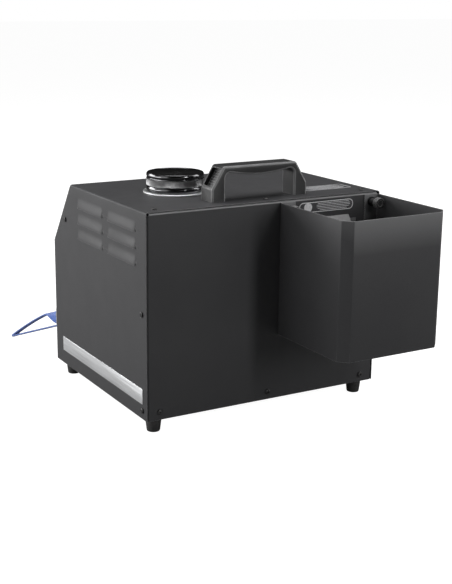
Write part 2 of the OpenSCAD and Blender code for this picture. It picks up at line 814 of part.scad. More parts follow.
module fan_frame() {
  color(black) translate([fan_x, fan_y, fan_z]) rotate([-90, 0, 0]) {
    difference() {
      slab(fan_size, fan_size, fan_t);
      translate([0, 0, -1]) cylinder(h = fan_t + 2, r = rotor_r + 1);
      for (x = [-1, 1], y = [-1, 1]) translate([x * 35.75, y * 35.75, -1]) cylinder(h = fan_t + 2, r = 2.15);
    }
    // the motor's seat and its four struts, with the bearing bore
    difference() {
      union() {
        cylinder(h = 4, r = fan_hub_r);
        for (a = [45:90:315]) rotate([0, 0, a]) translate([0, -2, 0]) cube([rotor_r + 2, 4, 3]);
      }
      translate([0, 0, -1]) cylinder(h = 6, r = 2.05);
    }
  }
}

module fan_rotor() {
  blade_w = 20;
  color(black) translate([fan_x, fan_y, fan_z]) rotate([-90, 0, 0]) {
    translate([0, 0, 5]) cylinder(h = 18, r = fan_hub_r);
    translate([0, 0, 0.5]) cylinder(h = 6, r = 1.97);
    intersection() {
      translate([0, 0, 5.5]) cylinder(h = 17, r = rotor_r);
      for (i = [0:6]) rotate([0, 0, i * 360 / 7]) translate([0, 0, 14]) rotate([35, 0, 0])
        translate([fan_hub_r - 2, -0.9, -blade_w / 2]) cube([rotor_r, 1.8, blade_w]);
    }
  }
}

// rings and spokes of flat wire over the fan's opening
module fan_guard() {
  wire = 1.8;
  color(steel) on_rear(fan_x, fan_z) {
    for (r = [9:9:36]) translate([0, 0, wire]) ring(r + wire / 2, r - wire / 2, wire);
    for (a = [45:90:315]) rotate([0, 0, a]) difference() {
      translate([7, -wire / 2, 0]) cube([44, wire, wire]);
      translate([50.5, 0, -1]) cylinder(h = 4, r = 2.2);
    }
    for (a = [45:90:315]) rotate([0, 0, a]) translate([50.5, 0, 0]) ring(4, 2.2, wire);
  }
}

// ---- controls ----

module display_module() {
  color([0.1, 0.12, 0.2]) on_slope(display_x) translate([0, 0, control_board_z + pcb])
    slab(display_w, display_h, -control_board_z - pcb);
}

module control_plate() {
  color(black) on_slope(0) difference() {
    linear_extrude(0.8) polygon(round_rect(196, 56, 4));
    translate([display_x, 0, -1]) slab(display_w - 6, display_h - 6, 3);
    for (x = button_x) translate([x, 0, -1]) cylinder(h = 3, r = button_r + 0.15);
  }
}

module push_button(i) {
  color(steel) on_slope(button_x[i]) {
    translate([0, 0, -1.5 - sheet]) cylinder(h = button_out + 1.5 + sheet, r = button_r);
    translate([0, 0, -2 - sheet]) cylinder(h = 1.5, r = button_r + 1);
    translate([0, 0, -6]) cylinder(h = 4, r = 1.5);
  }
}

module menu_button() { push_button(0); }
module down_button() { push_button(1); }
module up_button() { push_button(2); }
module enter_button() { push_button(3); }

module at_control_standoffs() {
  for (x = [-1, 1], y = [-1, 1]) on_slope(x * 92) translate([0, y * 24, 0]) children();
}

module control_board() {
  color(green) {
    on_slope(0) translate([0, 0, control_board_z]) slab(194, 56, pcb);
    // the key switches under the buttons
    for (x = button_x) on_slope(x) {
      translate([0, 0, control_board_z + pcb]) slab(6, 6, 2);
      translate([0, 0, control_board_z + pcb]) cylinder(h = 3.4, r = 1.5);
    }
    on_slope(40) translate([0, -18, control_board_z - 3]) slab(14, 14, 3.5);
  }
}

module board_standoffs() {
  color(brass) {
    at_control_standoffs() translate([0, 0, control_board_z + pcb])
      cylinder(h = -sheet - control_board_z - pcb, r = 3);
    for (x = [-1, 1], y = [-1, 1]) translate([duct_x + x * 47, board_y + y * 49, floor_z])
      cylinder(h = board_z - floor_z, r = 3);
  }
}

module power_board() {
  color(green) translate([duct_x, board_y, board_z]) {
    slab(board_w, board_d, pcb);
    translate([-22, 20, pcb - 0.5]) slab(42, 36, 32);
    translate([24, 30, pcb - 0.5]) slab(20, 16, 16);
    translate([24, 8, pcb - 0.5]) slab(20, 16, 16);
    translate([-30, -25, pcb - 0.5]) slab(34, 6, 30);
    for (x = [0, 22]) translate([x + 4, -28, pcb - 0.5]) cylinder(h = 26, r = 8);
  }
}

// ---- rear sockets and switch ----

module mains_inlet() {
  color(rubber) on_rear(inlet_x, socket_z) difference() {
    union() {
      linear_extrude(3) polygon(round_rect(50, 27, 5));
      translate([0, 0, -24]) slab(27, 19.8, 25);
    }
    translate([0, 0, -16]) difference() {
      slab(24.5, 16.8, 20);
      for (p = [[0, 3], [-7, -3], [7, -3]]) translate([p[0], p[1], -1]) slab(2, 4, 14);
    }
    for (s = [-1, 1]) translate([s * 20, 0, -1]) cylinder(h = 6, r = 1.6);
  }
}

module fuse_holder() {
  color(rubber) on_rear(fuse_x, socket_z) difference() {
    union() {
      cylinder(h = 5, r = 8.5);
      translate([0, 0, -32]) cylinder(h = 33, r = 6.4);
    }
    translate([-1, -6, 3.5]) cube([2, 12, 3]);
  }
}

module switch_housing() {
  color(rubber) on_rear(switch_x, socket_z) difference() {
    union() {
      slab(26, 34, 2);
      translate([0, 0, -24]) slab(22, 30, 25);
    }
    translate([0, 0, -22]) slab(18.4, 26.4, 30);
    translate([0, 0, -rocker_deep]) rotate([0, 90, 0])
      cylinder(h = through, r = rocker_pin_r + 0.05, center = true);
  }
}

module power_switch() {
  color(black) on_rear(switch_x, socket_z) translate([0, 0, -rocker_deep]) rotate([-rocker_tilt, 0, 0]) {
    rotate([90, 0, 90]) translate([0, 0, -9]) linear_extrude(18)
      polygon([[-11, 5.5], [-11.3, 9], [0, 7.2], [11.3, 9], [11, 5.5], [3, -9], [-3, -9]]);
    // the two pins that it tips on
    rotate([0, 90, 0]) cylinder(h = 21, r = rocker_pin_r, center = true);
  }
}

module dmx_sockets() {
  color(rubber) for (x = dmx_x) on_rear(x, socket_z) difference() {
    union() {
      linear_extrude(2.5) polygon(round_rect(26, 31, 3));
      translate([0, 0, -22]) cylinder(h = 23, r = 11.9);
    }
    translate([0, 0, -18]) difference() {
      cylinder(h = 30, r = 9.8);
      if (x == dmx_x[0]) for (a = [0, 120, 240]) rotate([0, 0, a]) translate([0, 5, -1]) cylinder(h = 15, r = 1.2);
      else translate([0, 0, -1]) cylinder(h = 18, r = 8);
    }
  }
}

// a wire through a list of points, with a small knuckle at each turn
module wire(points, r) {
  for (i = [0:len(points) - 2]) {
    d = points[i + 1] - points[i];
    l = norm(d);
    translate(points[i]) rotate([0, acos(d[2] / l), atan2(d[1], d[0])]) cylinder(h = l, r = r);
  }
  for (i = [1:len(points) - 2]) translate(points[i]) sphere(r * 1.15);
}

module wiring_harness() {
  back = y_rear - sheet;
  run_y = y_rear - 45;
  color(rubber) {
    wire([[inlet_x, back - 23.2, socket_z], [inlet_x, run_y, socket_z], [inlet_x, run_y, floor_z + 12],
          [duct_x - 20, run_y, floor_z + 12], [duct_x - 20, board_y + board_d / 2 - 6, floor_z + 24],
          [duct_x - 20, board_y + board_d / 2 - 6, board_z + pcb]], 2.5);
    wire([[switch_x, back - 23.2, socket_z], [switch_x, run_y, socket_z], [switch_x, run_y, floor_z + 14.6]], 2);
    wire([[fuse_x, back - 34, socket_z], [fuse_x, run_y - 4, socket_z - 12], [fuse_x, run_y, floor_z + 14.6]], 2);
  }
}

// ---- cable strap ----

// a plate on the rear face with two lugs that hold a level pin
module strap_anchor() {
  lug_x = strap_w / 2 + 1.2;
  color(steel) on_rear(strap_x, strap_z) {
    linear_extrude(1.5) polygon(round_rect(22, 30, 3));
    translate([0, 0, -3]) cylinder(h = 4, r = 2);
    for (s = [-1, 1]) translate([s * (lug_x + 1), 0, 0]) rotate([0, 90, 0]) {
      translate([-strap_pin_out, 0, 0]) cylinder(h = 2, r = 3.2, center = true);
      translate([-strap_pin_out, -3.2, -1]) cube([strap_pin_out, 6.4, 2]);
    }
    translate([0, 0, strap_pin_out]) rotate([0, 90, 0])
      cylinder(h = 2 * lug_x + 2, r = strap_pin_r, center = true);
  }
}

// the loop's upper and lower edges, for t = 0 at the anchor to 1 at its end on the floor
function strap_high(t) = 6 + (strap_z + 5 - 6) * (1 - pow(t, 1.4));
function strap_low(t) = 1 + (strap_z - 21) * (1 - t);

// the loop's outline seen from the side, moved inwards by d
function strap_outline(d) = concat(
  [for (i = [0:12]) [strap_l * i / 12, strap_high(i / 12) - d]],
  [for (i = [12:-1:0]) [strap_l * i / 12, strap_low(i / 12) + d]]);

// the two runs and the wide head between them
module strap_band() {
  difference() {
    along_x(-strap_w / 2, strap_w / 2) polygon(strap_outline(0));
    along_x(-strap_w, strap_w) intersection() {
      polygon(strap_outline(2));
      translate([2, 0]) square([strap_l - 50, strap_z * 2]);
    }
  }
  along_x(-1, 1) polygon([[1, strap_high(0) - 1], [52, strap_high(52 / strap_l) - 1],
                          [24, strap_low(24 / strap_l) + 1], [1, strap_low(0) + 1]]);
}

// the strap with the eye that turns on the anchor's pin
module cable_strap() {
  color(blue) translate([strap_x, y_rear + strap_pin_out, 0]) difference() {
    union() {
      rotate([0, 0, strap_lean]) strap_band();
      translate([0, 0, strap_z]) rotate([0, 90, 0]) cylinder(h = strap_w, r = 3.4, center = true);
    }
    translate([0, 0, strap_z]) rotate([0, 90, 0])
      cylinder(h = 2 * strap_w, r = strap_pin_r + 0.08, center = true);
  }
}

base_tray();
front_panel();
rear_panel();
cover();
case_screws();
rubber_feet();
carry_handle();
handle_screws();
side_strip();
warning_labels();
filler_neck();
neck_nut();
cap_seal();
cap_liner();
filler_cap();
fluid_tank();
tank_stand();
pump_body();
pump_coil();
pump_frame();
pump_bracket();
pump_piston();
pump_spring();
suction_tube();
delivery_tube();
heater_block();
vapour_coil();
heater_cartridges();
heater_insulation();
heater_frame();
thermostat();
outlet_nozzle();
outlet_duct();
duct_screws();
hood();
hood_nuts();
left_washer();
left_thumbscrew();
right_washer();
right_thumbscrew();
fan_frame();
fan_rotor();
fan_guard();
control_board();
display_module();
control_plate();
board_standoffs();
power_board();
menu_button();
down_button();
up_button();
enter_button();
mains_inlet();
fuse_holder();
switch_housing();
power_switch();
dmx_sockets();
wiring_harness();
strap_anchor();
cable_strap();
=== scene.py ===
"""The looks of the fog machine: own meshes for the visible shapes, node materials, light and camera.

Shapes are written in millimetres and scaled to metres when they become a piece.
"""

import json
import math

import bmesh
import bpy
from mathutils import Matrix, Vector


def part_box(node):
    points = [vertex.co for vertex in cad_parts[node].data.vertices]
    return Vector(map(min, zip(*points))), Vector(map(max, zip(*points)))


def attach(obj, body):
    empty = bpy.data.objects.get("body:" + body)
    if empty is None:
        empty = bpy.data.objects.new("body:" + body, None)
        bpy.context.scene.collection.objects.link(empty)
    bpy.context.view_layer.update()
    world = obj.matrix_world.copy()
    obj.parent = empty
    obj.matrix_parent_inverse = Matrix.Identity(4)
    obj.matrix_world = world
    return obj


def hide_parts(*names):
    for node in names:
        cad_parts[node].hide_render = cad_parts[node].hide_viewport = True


MM = 0.001

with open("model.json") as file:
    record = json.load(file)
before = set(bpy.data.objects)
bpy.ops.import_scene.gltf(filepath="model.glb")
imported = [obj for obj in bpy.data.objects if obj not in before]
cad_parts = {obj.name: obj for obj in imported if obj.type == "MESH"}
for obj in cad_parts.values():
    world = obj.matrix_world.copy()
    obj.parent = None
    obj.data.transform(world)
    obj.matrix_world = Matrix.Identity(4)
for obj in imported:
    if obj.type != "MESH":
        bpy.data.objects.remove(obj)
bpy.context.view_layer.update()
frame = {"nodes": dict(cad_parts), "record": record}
slot_of = {part["node"]: part["material_slot"] for part in frame["record"]["subparts"]}


def cad_box(node):
    """The lowest and the highest corner of a CAD node, in millimetres."""
    low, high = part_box(node)
    return low / MM, high / MM


# ---- sizes, in millimetres ----

case_low, case_high = cad_box("cover")
strip_low, strip_high = cad_box("side_strip")
hood_low, hood_high = cad_box("hood")
cap_low, cap_high = cad_box("filler_cap")
neck_low, neck_high = cad_box("filler_neck")
grip_low, grip_high = cad_box("carry_handle")
duct_low, duct_high = cad_box("outlet_duct")

HALF_W = -strip_high.x                      # half of the case's width
Y_FRONT = case_low.y
Y_REAR = case_high.y
Z_LOW = case_low.z
Z_TOP = case_high.z
Y_TOP = Y_FRONT + 245                       # where the top ends and the sloped face starts
Z_SLOPE = Z_LOW + 188                       # where the sloped face ends
SHEET = 1.2
BEND_R = 3
FLANGE = 20                                 # depth of the panels' folded edges
GAP = 0.4                                   # between the cover and the panels
CREASE = 32                                 # degrees; an edge bent by more than this is drawn sharp

LOUVRE_L = 88
LOUVRE_H = 16
LOUVRE_OUT = 2.9
LOUVRE_PITCH = 22.5
LOUVRE_TOP = Z_LOW + 268
LOUVRE_STARTS = [Y_FRONT + 28.5, Y_FRONT + 132]
LOUVRE_SLOT = 0.3                           # height of the opening under a louvre
LOUVRE_TAPER = 2                            # how much shorter each end is at the top
LOUVRE_END_R = 10                           # how far in from an end it reaches its full height
LOUVRE_OPEN = 0.7                           # share of the full height from which the slot is open

CAP_X = (cap_low.x + cap_high.x) / 2
CAP_Y = (cap_low.y + cap_high.y) / 2
CAP_R = (cap_high.x - cap_low.x) / 2
CAP_BORE_R = 35
CAP_SKIN = 4
NECK_BORE_R = 28
NECK_R = 34.9                               # of the thread's crests
NECK_HOLE_R = 31.2                          # of the hole in the cover

OUTLET_X = (duct_low.x + duct_high.x) / 2
OUTLET_Z = Z_LOW + 205
OUTLET_R = 20

HOOD_CORNER = 12
HOOD_FLANGE = 24
HOOD_BEND_R = 1.8
TAB_X = 45                                  # from the hood's middle to each tab under its back edge
TAB_W = 15

PRINT_RISE = 0.04                           # how far the print stands above a label's film
FILM = 0.25                                 # thickness of a label


# ---- helpers ----

def arc(cx, cy, r, start, end, steps=6):
    """Points of an arc, with angles in degrees."""
    points = []
    for i in range(steps + 1):
        a = math.radians(start + (end - start) * i / steps)
        points.append((cx + r * math.cos(a), cy + r * math.sin(a)))
    return points


def smooth_step(t):
    """Eases from 0 to 1."""
    t = min(max(t, 0.0), 1.0)
    return t * t * (3 - 2 * t)


def fillet(points, radius, steps=4, closed=False):
    """A line through points with its corners rounded, by one radius or by one for each point."""
    out = []
    count = len(points)
    for i, point in enumerate(points):
        if not closed and i in (0, count - 1):
            out.append(point)
            continue
        here = Vector(point)
        back = (Vector(points[i - 1]) - here)
        ahead = (Vector(points[(i + 1) % count]) - here)
        r = radius[i] if isinstance(radius, (list, tuple)) else radius
        if r == 0:
            out.append(point)
            continue
        half = back.angle(ahead) / 2
        cut = r / math.tan(half)
        start = here + back.normalized() * cut
        end = here + ahead.normalized() * cut
        centre = here + (back.normalized() + ahead.normalized()).normalized() * (r / math.sin(half))
        for k in range(steps + 1):
            t = k / steps
            spoke = (start - centre).normalized().slerp((end - centre).normalized(), t)
            out.append(tuple(centre + spoke * r))
    return out


def piece(name, bm, slot, body, stands_for=(), crease=CREASE, look=None):
    """Turns a bmesh in millimetres into a named piece that rides on a body."""
    bmesh.ops.scale(bm, vec=(MM, MM, MM), verts=bm.verts)
    mesh = bpy.data.meshes.new(name)
    bm.to_mesh(mesh)
    bm.free()
    mesh.materials.append(look or looks[slot])
    made = bpy.data.objects.new(name, mesh)
    bpy.context.scene.collection.objects.link(made)
    shade(mesh, crease)
    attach(made, body)
    if stands_for:
        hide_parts(*stands_for)
    return made


def shade(mesh, crease):
    """Smooth shading with sharp edges above an angle."""
    mesh.shade_smooth()
    mesh.set_sharp_from_angle(angle=math.radians(crease))


def bake(made):
    """Puts the modifiers' result into the piece's own mesh."""
    bpy.context.view_layer.update()
    seen = made.evaluated_get(bpy.context.evaluated_depsgraph_get())
    mesh = bpy.data.meshes.new_from_object(seen)
    made.modifiers.clear()
    made.data = mesh
    shade(mesh, CREASE)
    return made


def cut(made, cutters):
    """Takes bmesh cutters, in millimetres, out of a piece."""
    for bm in cutters:
        bmesh.ops.scale(bm, vec=(MM, MM, MM), verts=bm.verts)
        bmesh.ops.recalc_face_normals(bm, faces=bm.faces)
        mesh = bpy.data.meshes.new("cutter")
        bm.to_mesh(mesh)
        bm.free()
        tool = bpy.data.objects.new("cutter", mesh)
        bpy.context.scene.collection.objects.link(tool)
        boolean = made.modifiers.new("cut", "BOOLEAN")
        boolean.operation = "DIFFERENCE"
        boolean.solver = "EXACT"
        boolean.object = tool
        bake(made)
        bpy.data.objects.remove(tool)
    return made


def round_edges(made, width, segments=2, limit=50):
    """Bevels a piece's sharp edges and keeps the result."""
    bevel = made.modifiers.new("edges", "BEVEL")
    bevel.width = width * MM
    bevel.segments = segments
    bevel.limit_method = "ANGLE"
    bevel.angle_limit = math.radians(limit)
    return bake(made)


def thicken(made):
    """Gives a surface its sheet thickness, inwards from its outside face."""
    solid = made.modifiers.new("sheet", "SOLIDIFY")
    solid.thickness = SHEET * MM
    solid.offset = -1
    solid.use_even_offset = True
    return bake(made)


def add_block(bm, centre, size, place=None):
    """Adds a block to a bmesh."""
    place = (place or Matrix()) @ Matrix.Translation(centre) @ Matrix.Diagonal((*size, 1))
    return bmesh.ops.create_cube(bm, size=1, matrix=place)["verts"]


def add_lathe(bm, profile, place=None, segments=96, ripple=0, ripples=0):
    """Adds a turned shape: profile points are (radius, height, share of the ripple)."""
    place = place or Matrix()
    rings = []
    for point in profile:
        r, z = point[0], point[1]
        share = point[2] if len(point) > 2 else 0
        if r < 1e-6:
            rings.append([bm.verts.new(place @ Vector((0, 0, z)))])
            continue
        ring = []
        for i in range(segments):
            a = 2 * math.pi * i / segments
            here = r - share * ripple * (0.5 - 0.5 * math.cos(ripples * a))
            ring.append(bm.verts.new(place @ Vector((here * math.cos(a), here * math.sin(a), z))))
        rings.append(ring)
    for low, high in zip(rings, rings[1:]):
        for i in range(segments):
            k = (i + 1) % segments
            if len(low) == 1 and len(high) == 1:
                continue
            if len(low) == 1:
                bm.faces.new((low[0], high[k], high[i]))
            elif len(high) == 1:
                bm.faces.new((low[i], low[k], high[0]))
            else:
                bm.faces.new((low[i], low[k], high[k], high[i]))


def add_prism(bm, outline, low, high, place=None):
    """Adds an outline in X and Y, extruded from low to high in Z."""
    place = place or Matrix()
    bottom = [bm.verts.new(place @ Vector((x, y, low))) for x, y in outline]
    top = [bm.verts.new(place @ Vector((x, y, high))) for x, y in outline]
    bm.faces.new(list(reversed(bottom)))
    bm.faces.new(top)
    for i in range(len(outline)):
        k = (i + 1) % len(outline)
        bm.faces.new((bottom[i], bottom[k], top[k], top[i]))


def add_tube(bm, path, radius, closed=False, sides=12):
    """Adds a round wire along a path of points."""
    path = [Vector(p) for p in path]
    rings = []
    count = len(path)
    side = None
    for i, here in enumerate(path):
        before = path[i - 1] if (closed or i > 0) else here
        after = path[(i + 1) % count] if (closed or i < count - 1) else here
        along = (after - before).normalized()
        if side is None:
            side = along.orthogonal().normalized()
        side = (side - along * side.dot(along)).normalized()
        other = along.cross(side)
        ring = []
        for k in range(sides):
            a = 2 * math.pi * k / sides
            ring.append(bm.verts.new(here + (side * math.cos(a) + other * math.sin(a)) * radius))
        rings.append(ring)
    pairs = list(zip(rings, rings[1:]))
    if closed:
        pairs.append((rings[-1], rings[0]))
    else:
        bm.faces.new(list(reversed(rings[0])))
        bm.faces.new(rings[-1])
    for low, high in pairs:
        for k in range(sides):
            j = (k + 1) % sides
            bm.faces.new((low[k], low[j], high[j], high[k]))


def rounded_box(w, h, r, steps=5):
    """The outline of a rectangle with round corners, about the origin."""
    corners = [(-w / 2, -h / 2), (w / 2, -h / 2), (w / 2, h / 2), (-w / 2, h / 2)]
    return fillet(corners, r, steps, closed=True)


def solids(node):
    """The boxes of a CAD node's separate solids, in millimetres."""
    bm = bmesh.new()
    bm.from_mesh(frame["nodes"][node].data)
    bmesh.ops.remove_doubles(bm, verts=bm.verts, dist=1e-6)
    left = set(bm.verts)
    boxes = []
    while left:
        group = [left.pop()]
        for vert in group:
            for edge in vert.link_edges:
                other = edge.other_vert(vert)
                if other in left:
                    left.remove(other)
                    group.append(other)
        low = Vector([min(v.co[i] for v in group) for i in range(3)]) / MM
        high = Vector([max(v.co[i] for v in group) for i in range(3)]) / MM
        boxes.append((low, high))
    bm.free()
    return sorted(boxes, key=lambda pair: tuple(round(c, 2) for c in pair[0]))


def facing(place, outward):
    """A frame at a place whose Z points outwards."""
    return Matrix.Translation(place) @ Vector(outward).to_track_quat("Z", "Y").to_matrix().to_4x4()


# ---- materials ----

class Look:
    """A node material, built up step by step. Lengths in millimetres."""

    def __init__(self, name, colour, roughness, metallic=0.0, edge=0.4):
        self.name = name
        self.material = bpy.data.materials.new(name)
        self.material.use_nodes = True
        tree = self.material.node_tree
        self.nodes = tree.nodes
        self.links = tree.links
        self.shader = self.nodes["Principled BSDF"]
        self.place = self.nodes.new("ShaderNodeTexCoord").outputs["Object"]
        self.shader.inputs["Base Color"].default_value = (*colour, 1)
        self.shader.inputs["Roughness"].default_value = roughness
        self.shader.inputs["Metallic"].default_value = metallic
        self.colour = None
        self.flat_colour = colour
        self.roughness = roughness
        soft = self.nodes.new("ShaderNodeBevel")
        soft.samples = 4
        soft.inputs["Radius"].default_value = edge * MM
        self.normal = soft.outputs["Normal"]
        self.soft_normal = self.normal
        self.links.new(self.normal, self.shader.inputs["Normal"])

    def set(self, name, value):
        """Sets one of the shader's inputs."""
        self.shader.inputs[name].default_value = value
        return self

    def math(self, kind, a, b):
        """A sum, product or other operation on two numbers or outputs."""
        node = self.nodes.new("ShaderNodeMath")
        node.operation = kind
        for socket, value in zip(node.inputs, (a, b)):
            if isinstance(value, (int, float)):
                socket.default_value = value
            else:
                self.links.new(value, socket)
        return node.outputs[0]

    def noise(self, size, detail=3.0, stretch=(1, 1, 1)):
        """Noise whose features are about `size` millimetres across."""
        mapping = self.nodes.new("ShaderNodeMapping")
        mapping.inputs["Scale"].default_value = tuple(1 / s for s in stretch)
        self.links.new(self.place, mapping.inputs["Vector"])
        node = self.nodes.new("ShaderNodeTexNoise")
        node.inputs["Scale"].default_value = 1 / (size * MM)
        node.inputs["Detail"].default_value = detail
        self.links.new(mapping.outputs["Vector"], node.inputs["Vector"])
        return node.outputs["Fac"]

    def ranged(self, value, low, high, start=0.3, end=0.7):
        """Maps start to end on to low to high."""
        node = self.nodes.new("ShaderNodeMapRange")
        node.inputs["From Min"].default_value = start
        node.inputs["From Max"].default_value = end
        node.inputs["To Min"].default_value = low
        node.inputs["To Max"].default_value = high
        self.links.new(value, node.inputs["Value"])
        return node.outputs["Result"]

    def tint(self, factor, light):
        """Mixes a second colour in by a 0 to 1 factor."""
        mix = self.nodes.new("ShaderNodeMix")
        mix.data_type = "RGBA"
        first, second = [socket for socket in mix.inputs if socket.type == "RGBA"]
        if self.colour is None:
            first.default_value = (*self.flat_colour, 1)
        else:
            self.links.new(self.colour, first)
        second.default_value = (*light, 1)
        self.links.new(factor, mix.inputs["Factor"])
        self.colour = next(socket for socket in mix.outputs if socket.type == "RGBA")
        self.links.new(self.colour, self.shader.inputs["Base Color"])
        return self

    def mottle(self, size, light, stretch=(1, 1, 1), strength=1.0):
        """Mixes a second colour in, in soft patches."""
        return self.tint(self.ranged(self.noise(size, 4, stretch), 0, strength), light)

    def uneven(self, size, amount, stretch=(1, 1, 1)):
        """Varies the roughness."""
        low = max(self.roughness - amount, 0.02)
        high = min(self.roughness + amount, 1)
        value = self.ranged(self.noise(size, 3, stretch), low, high)
        self.links.new(value, self.shader.inputs["Roughness"])
        return self

    def bump(self, height, depth):
        """Adds relief from a 0 to 1 height, `depth` millimetres deep."""
        node = self.nodes.new("ShaderNodeBump")
        node.inputs["Distance"].default_value = depth * MM
        node.inputs["Strength"].default_value = 1
        self.links.new(height, node.inputs["Height"])
        self.links.new(self.normal, node.inputs["Normal"])
        self.normal = node.outputs["Normal"]
        self.links.new(self.normal, self.shader.inputs["Normal"])
        return self

    def edge_wear_and_painted_highlight(self, light):
        """Lightens the edges, where the rounded normal leaves the face's own: partly edge wear, mostly a
        painted highlight along rims and bends.
        """
        face = self.nodes.new("ShaderNodeNewGeometry").outputs["True Normal"]
        product = self.nodes.new("ShaderNodeVectorMath")
        product.operation = "DOT_PRODUCT"
        self.links.new(self.soft_normal, product.inputs[0])
        self.links.new(face, product.inputs[1])
        lost = self.math("SUBTRACT", 1, product.outputs["Value"])
        return self.tint(self.ranged(lost, 0, 1, 0.02, 0.10), light)

    def painted_bend_highlight(self, light):
        """Lightens surfaces that face both forwards and up, such as the bend between a front and a top: a
        painted highlight.
        """
        normal = self.nodes.new("ShaderNodeSeparateXYZ")
        self.links.new(self.nodes.new("ShaderNodeNewGeometry").outputs["Normal"], normal.inputs[0])
        slanted = self.math("MULTIPLY", self.math("MULTIPLY", normal.outputs["Y"], -1), normal.outputs["Z"])
        return self.tint(self.ranged(slanted, 0, 1, 0.1, 0.4), light)

    def grain(self, size, depth, stretch=(1, 1, 1), detail=2.0):
        """Adds uneven relief."""
        return self.bump(self.noise(size, detail, stretch), depth)

    def waves(self, axis, size):
        """Sine stripes across an axis, `size` millimetres from one to the next."""
        split = self.nodes.new("ShaderNodeSeparateXYZ")
        self.links.new(self.place, split.inputs["Vector"])
        turn = self.math("MULTIPLY", split.outputs[axis], 2 * math.pi / (size * MM))
        wave = self.math("SINE", turn, 0)
        return self.math("ADD", self.math("MULTIPLY", wave, 0.5), 0.5)

    def brushed(self, axis, amount=0.6):
        """Stretched highlights round an axis."""
        tangent = self.nodes.new("ShaderNodeTangent")
        tangent.direction_type = "RADIAL"
        tangent.axis = axis
        self.links.new(tangent.outputs["Tangent"], self.shader.inputs["Tangent"])
        self.shader.inputs["Anisotropic"].default_value = amount
        return self


def powder_coat():
    look = Look("powder_coat_black", (0.030, 0.030, 0.0318), 0.56, edge=0.9)
    look.mottle(90, (0.035, 0.035, 0.0365))
    look.mottle(0.9, (0.043, 0.043, 0.0455), strength=0.5)
    # edges lightened: edge wear and a painted highlight along rims and bends
    look.edge_wear_and_painted_highlight((0.24, 0.24, 0.245))
    # painted highlight on surfaces facing forwards and up, such as the front panel's top bend
    look.painted_bend_highlight((0.28, 0.28, 0.285))
    look.uneven(60, 0.05)
    look.set("Specular IOR Level", 0.28)
    return look.grain(0.9, 0.035, detail=3)


def turned_metal():
    look = Look("turned_black_metal", (0.10, 0.10, 0.103), 0.16, metallic=1.0)
    look.mottle(25, (0.13, 0.13, 0.134))
    look.uneven(12, 0.04)
    look.brushed("Z", 0.5)
    return look.grain(0.5, 0.003, stretch=(6, 6, 1))


def knurled_metal():
    look = Look("knurled_black_metal", (0.24, 0.24, 0.243), 0.42, metallic=1.0)
    look.mottle(6, (0.34, 0.34, 0.345))
    look.uneven(4, 0.08)
    return look.grain(0.8, 0.08)


def bare_sheet():
    look = Look("bare_sheet", (0.24, 0.24, 0.245), 0.55, metallic=0.85, edge=0.6)
    look.mottle(9, (0.19, 0.19, 0.19))
    look.uneven(4, 0.08)
    return look.grain(0.8, 0.02, detail=4)


def brushed_silver():
    look = Look("brushed_silver", (0.92, 0.93, 0.94), 0.40, metallic=1.0, edge=0.3)
    look.mottle(1.2, (0.80, 0.81, 0.82), stretch=(1, 60, 1))
    look.uneven(1.5, 0.10, stretch=(1, 60, 1))
    return look.grain(0.5, 0.006, stretch=(1, 80, 1))


def zinc_steel():
    look = Look("zinc_steel", (0.60, 0.61, 0.63), 0.36, metallic=1.0)
    look.mottle(7, (0.48, 0.49, 0.51))
    look.uneven(5, 0.10)
    return look.grain(2.5, 0.006)


def black_screw():
    look = Look("black_screw", (0.055, 0.055, 0.058), 0.38, metallic=1.0, edge=0.2)
    look.mottle(2, (0.09, 0.088, 0.085))
    look.uneven(1.5, 0.12)
    return look.grain(0.4, 0.01)


def moulded_black():
    look = Look("moulded_black", (0.015, 0.015, 0.0155), 0.42, edge=0.9)
    look.mottle(30, (0.021, 0.021, 0.0215))
    # edges lightened: edge wear and a painted rim highlight
    look.edge_wear_and_painted_highlight((0.26, 0.26, 0.263))
    look.uneven(18, 0.06)
    return look.grain(0.45, 0.02, detail=3)


# A lighter, glossier copy of moulded_black for the handle's bevelled rims: a painted rim highlight.
def black_painted_rim_highlight():
    look = Look("black_painted_rim_highlight", (0.130, 0.130, 0.132), 0.34, edge=0.4)
    look.mottle(14, (0.180, 0.180, 0.182))
    look.uneven(18, 0.06)
    return look.grain(0.45, 0.02, detail=3)


def gloss_black():
    look = Look("gloss_black_plastic", (0.012, 0.012, 0.013), 0.2)
    look.mottle(20, (0.018, 0.018, 0.019))
    look.uneven(9, 0.06)
    return look.grain(1.5, 0.003)


def black_rubber():
    look = Look("black_rubber", (0.016, 0.016, 0.016), 0.72, edge=0.6)
    look.mottle(6, (0.028, 0.027, 0.026))
    look.uneven(5, 0.12)
    return look.grain(0.6, 0.03, detail=4)


def milky_plastic():
    look = Look("milky_plastic", (0.78, 0.77, 0.70), 0.42)
    look.set("Transmission Weight", 0.25).set("Subsurface Weight", 0.2)
    look.mottle(40, (0.70, 0.69, 0.60))
    look.uneven(15, 0.08)
    return look.grain(3, 0.02)


def cast_aluminium():
    look = Look("cast_aluminium", (0.62, 0.62, 0.62), 0.46, metallic=1.0, edge=0.6)
    look.mottle(9, (0.46, 0.45, 0.44))
    look.uneven(4, 0.10)
    return look.grain(0.8, 0.03, detail=4)


def ceramic_wool():
    look = Look("ceramic_wool", (0.78, 0.76, 0.71), 0.95, edge=3)
    look.mottle(10, (0.62, 0.58, 0.50))
    look.set("Sheen Weight", 0.4)
    look.grain(7, 1.2, detail=4)
    return look.grain(0.6, 0.4, stretch=(8, 1, 1))


def brass_metal():
    look = Look("brass_metal", (0.72, 0.52, 0.22), 0.28, metallic=1.0, edge=0.3)
    look.mottle(6, (0.58, 0.38, 0.15))
    look.uneven(3, 0.08)
    return look.grain(0.5, 0.006)


def copper_winding():
    look = Look("copper_winding", (0.50, 0.20, 0.07), 0.42, edge=0.3)
    turns = look.waves("Y", 0.8)
    look.tint(turns, (0.75, 0.38, 0.16))
    return look.bump(turns, 0.15)


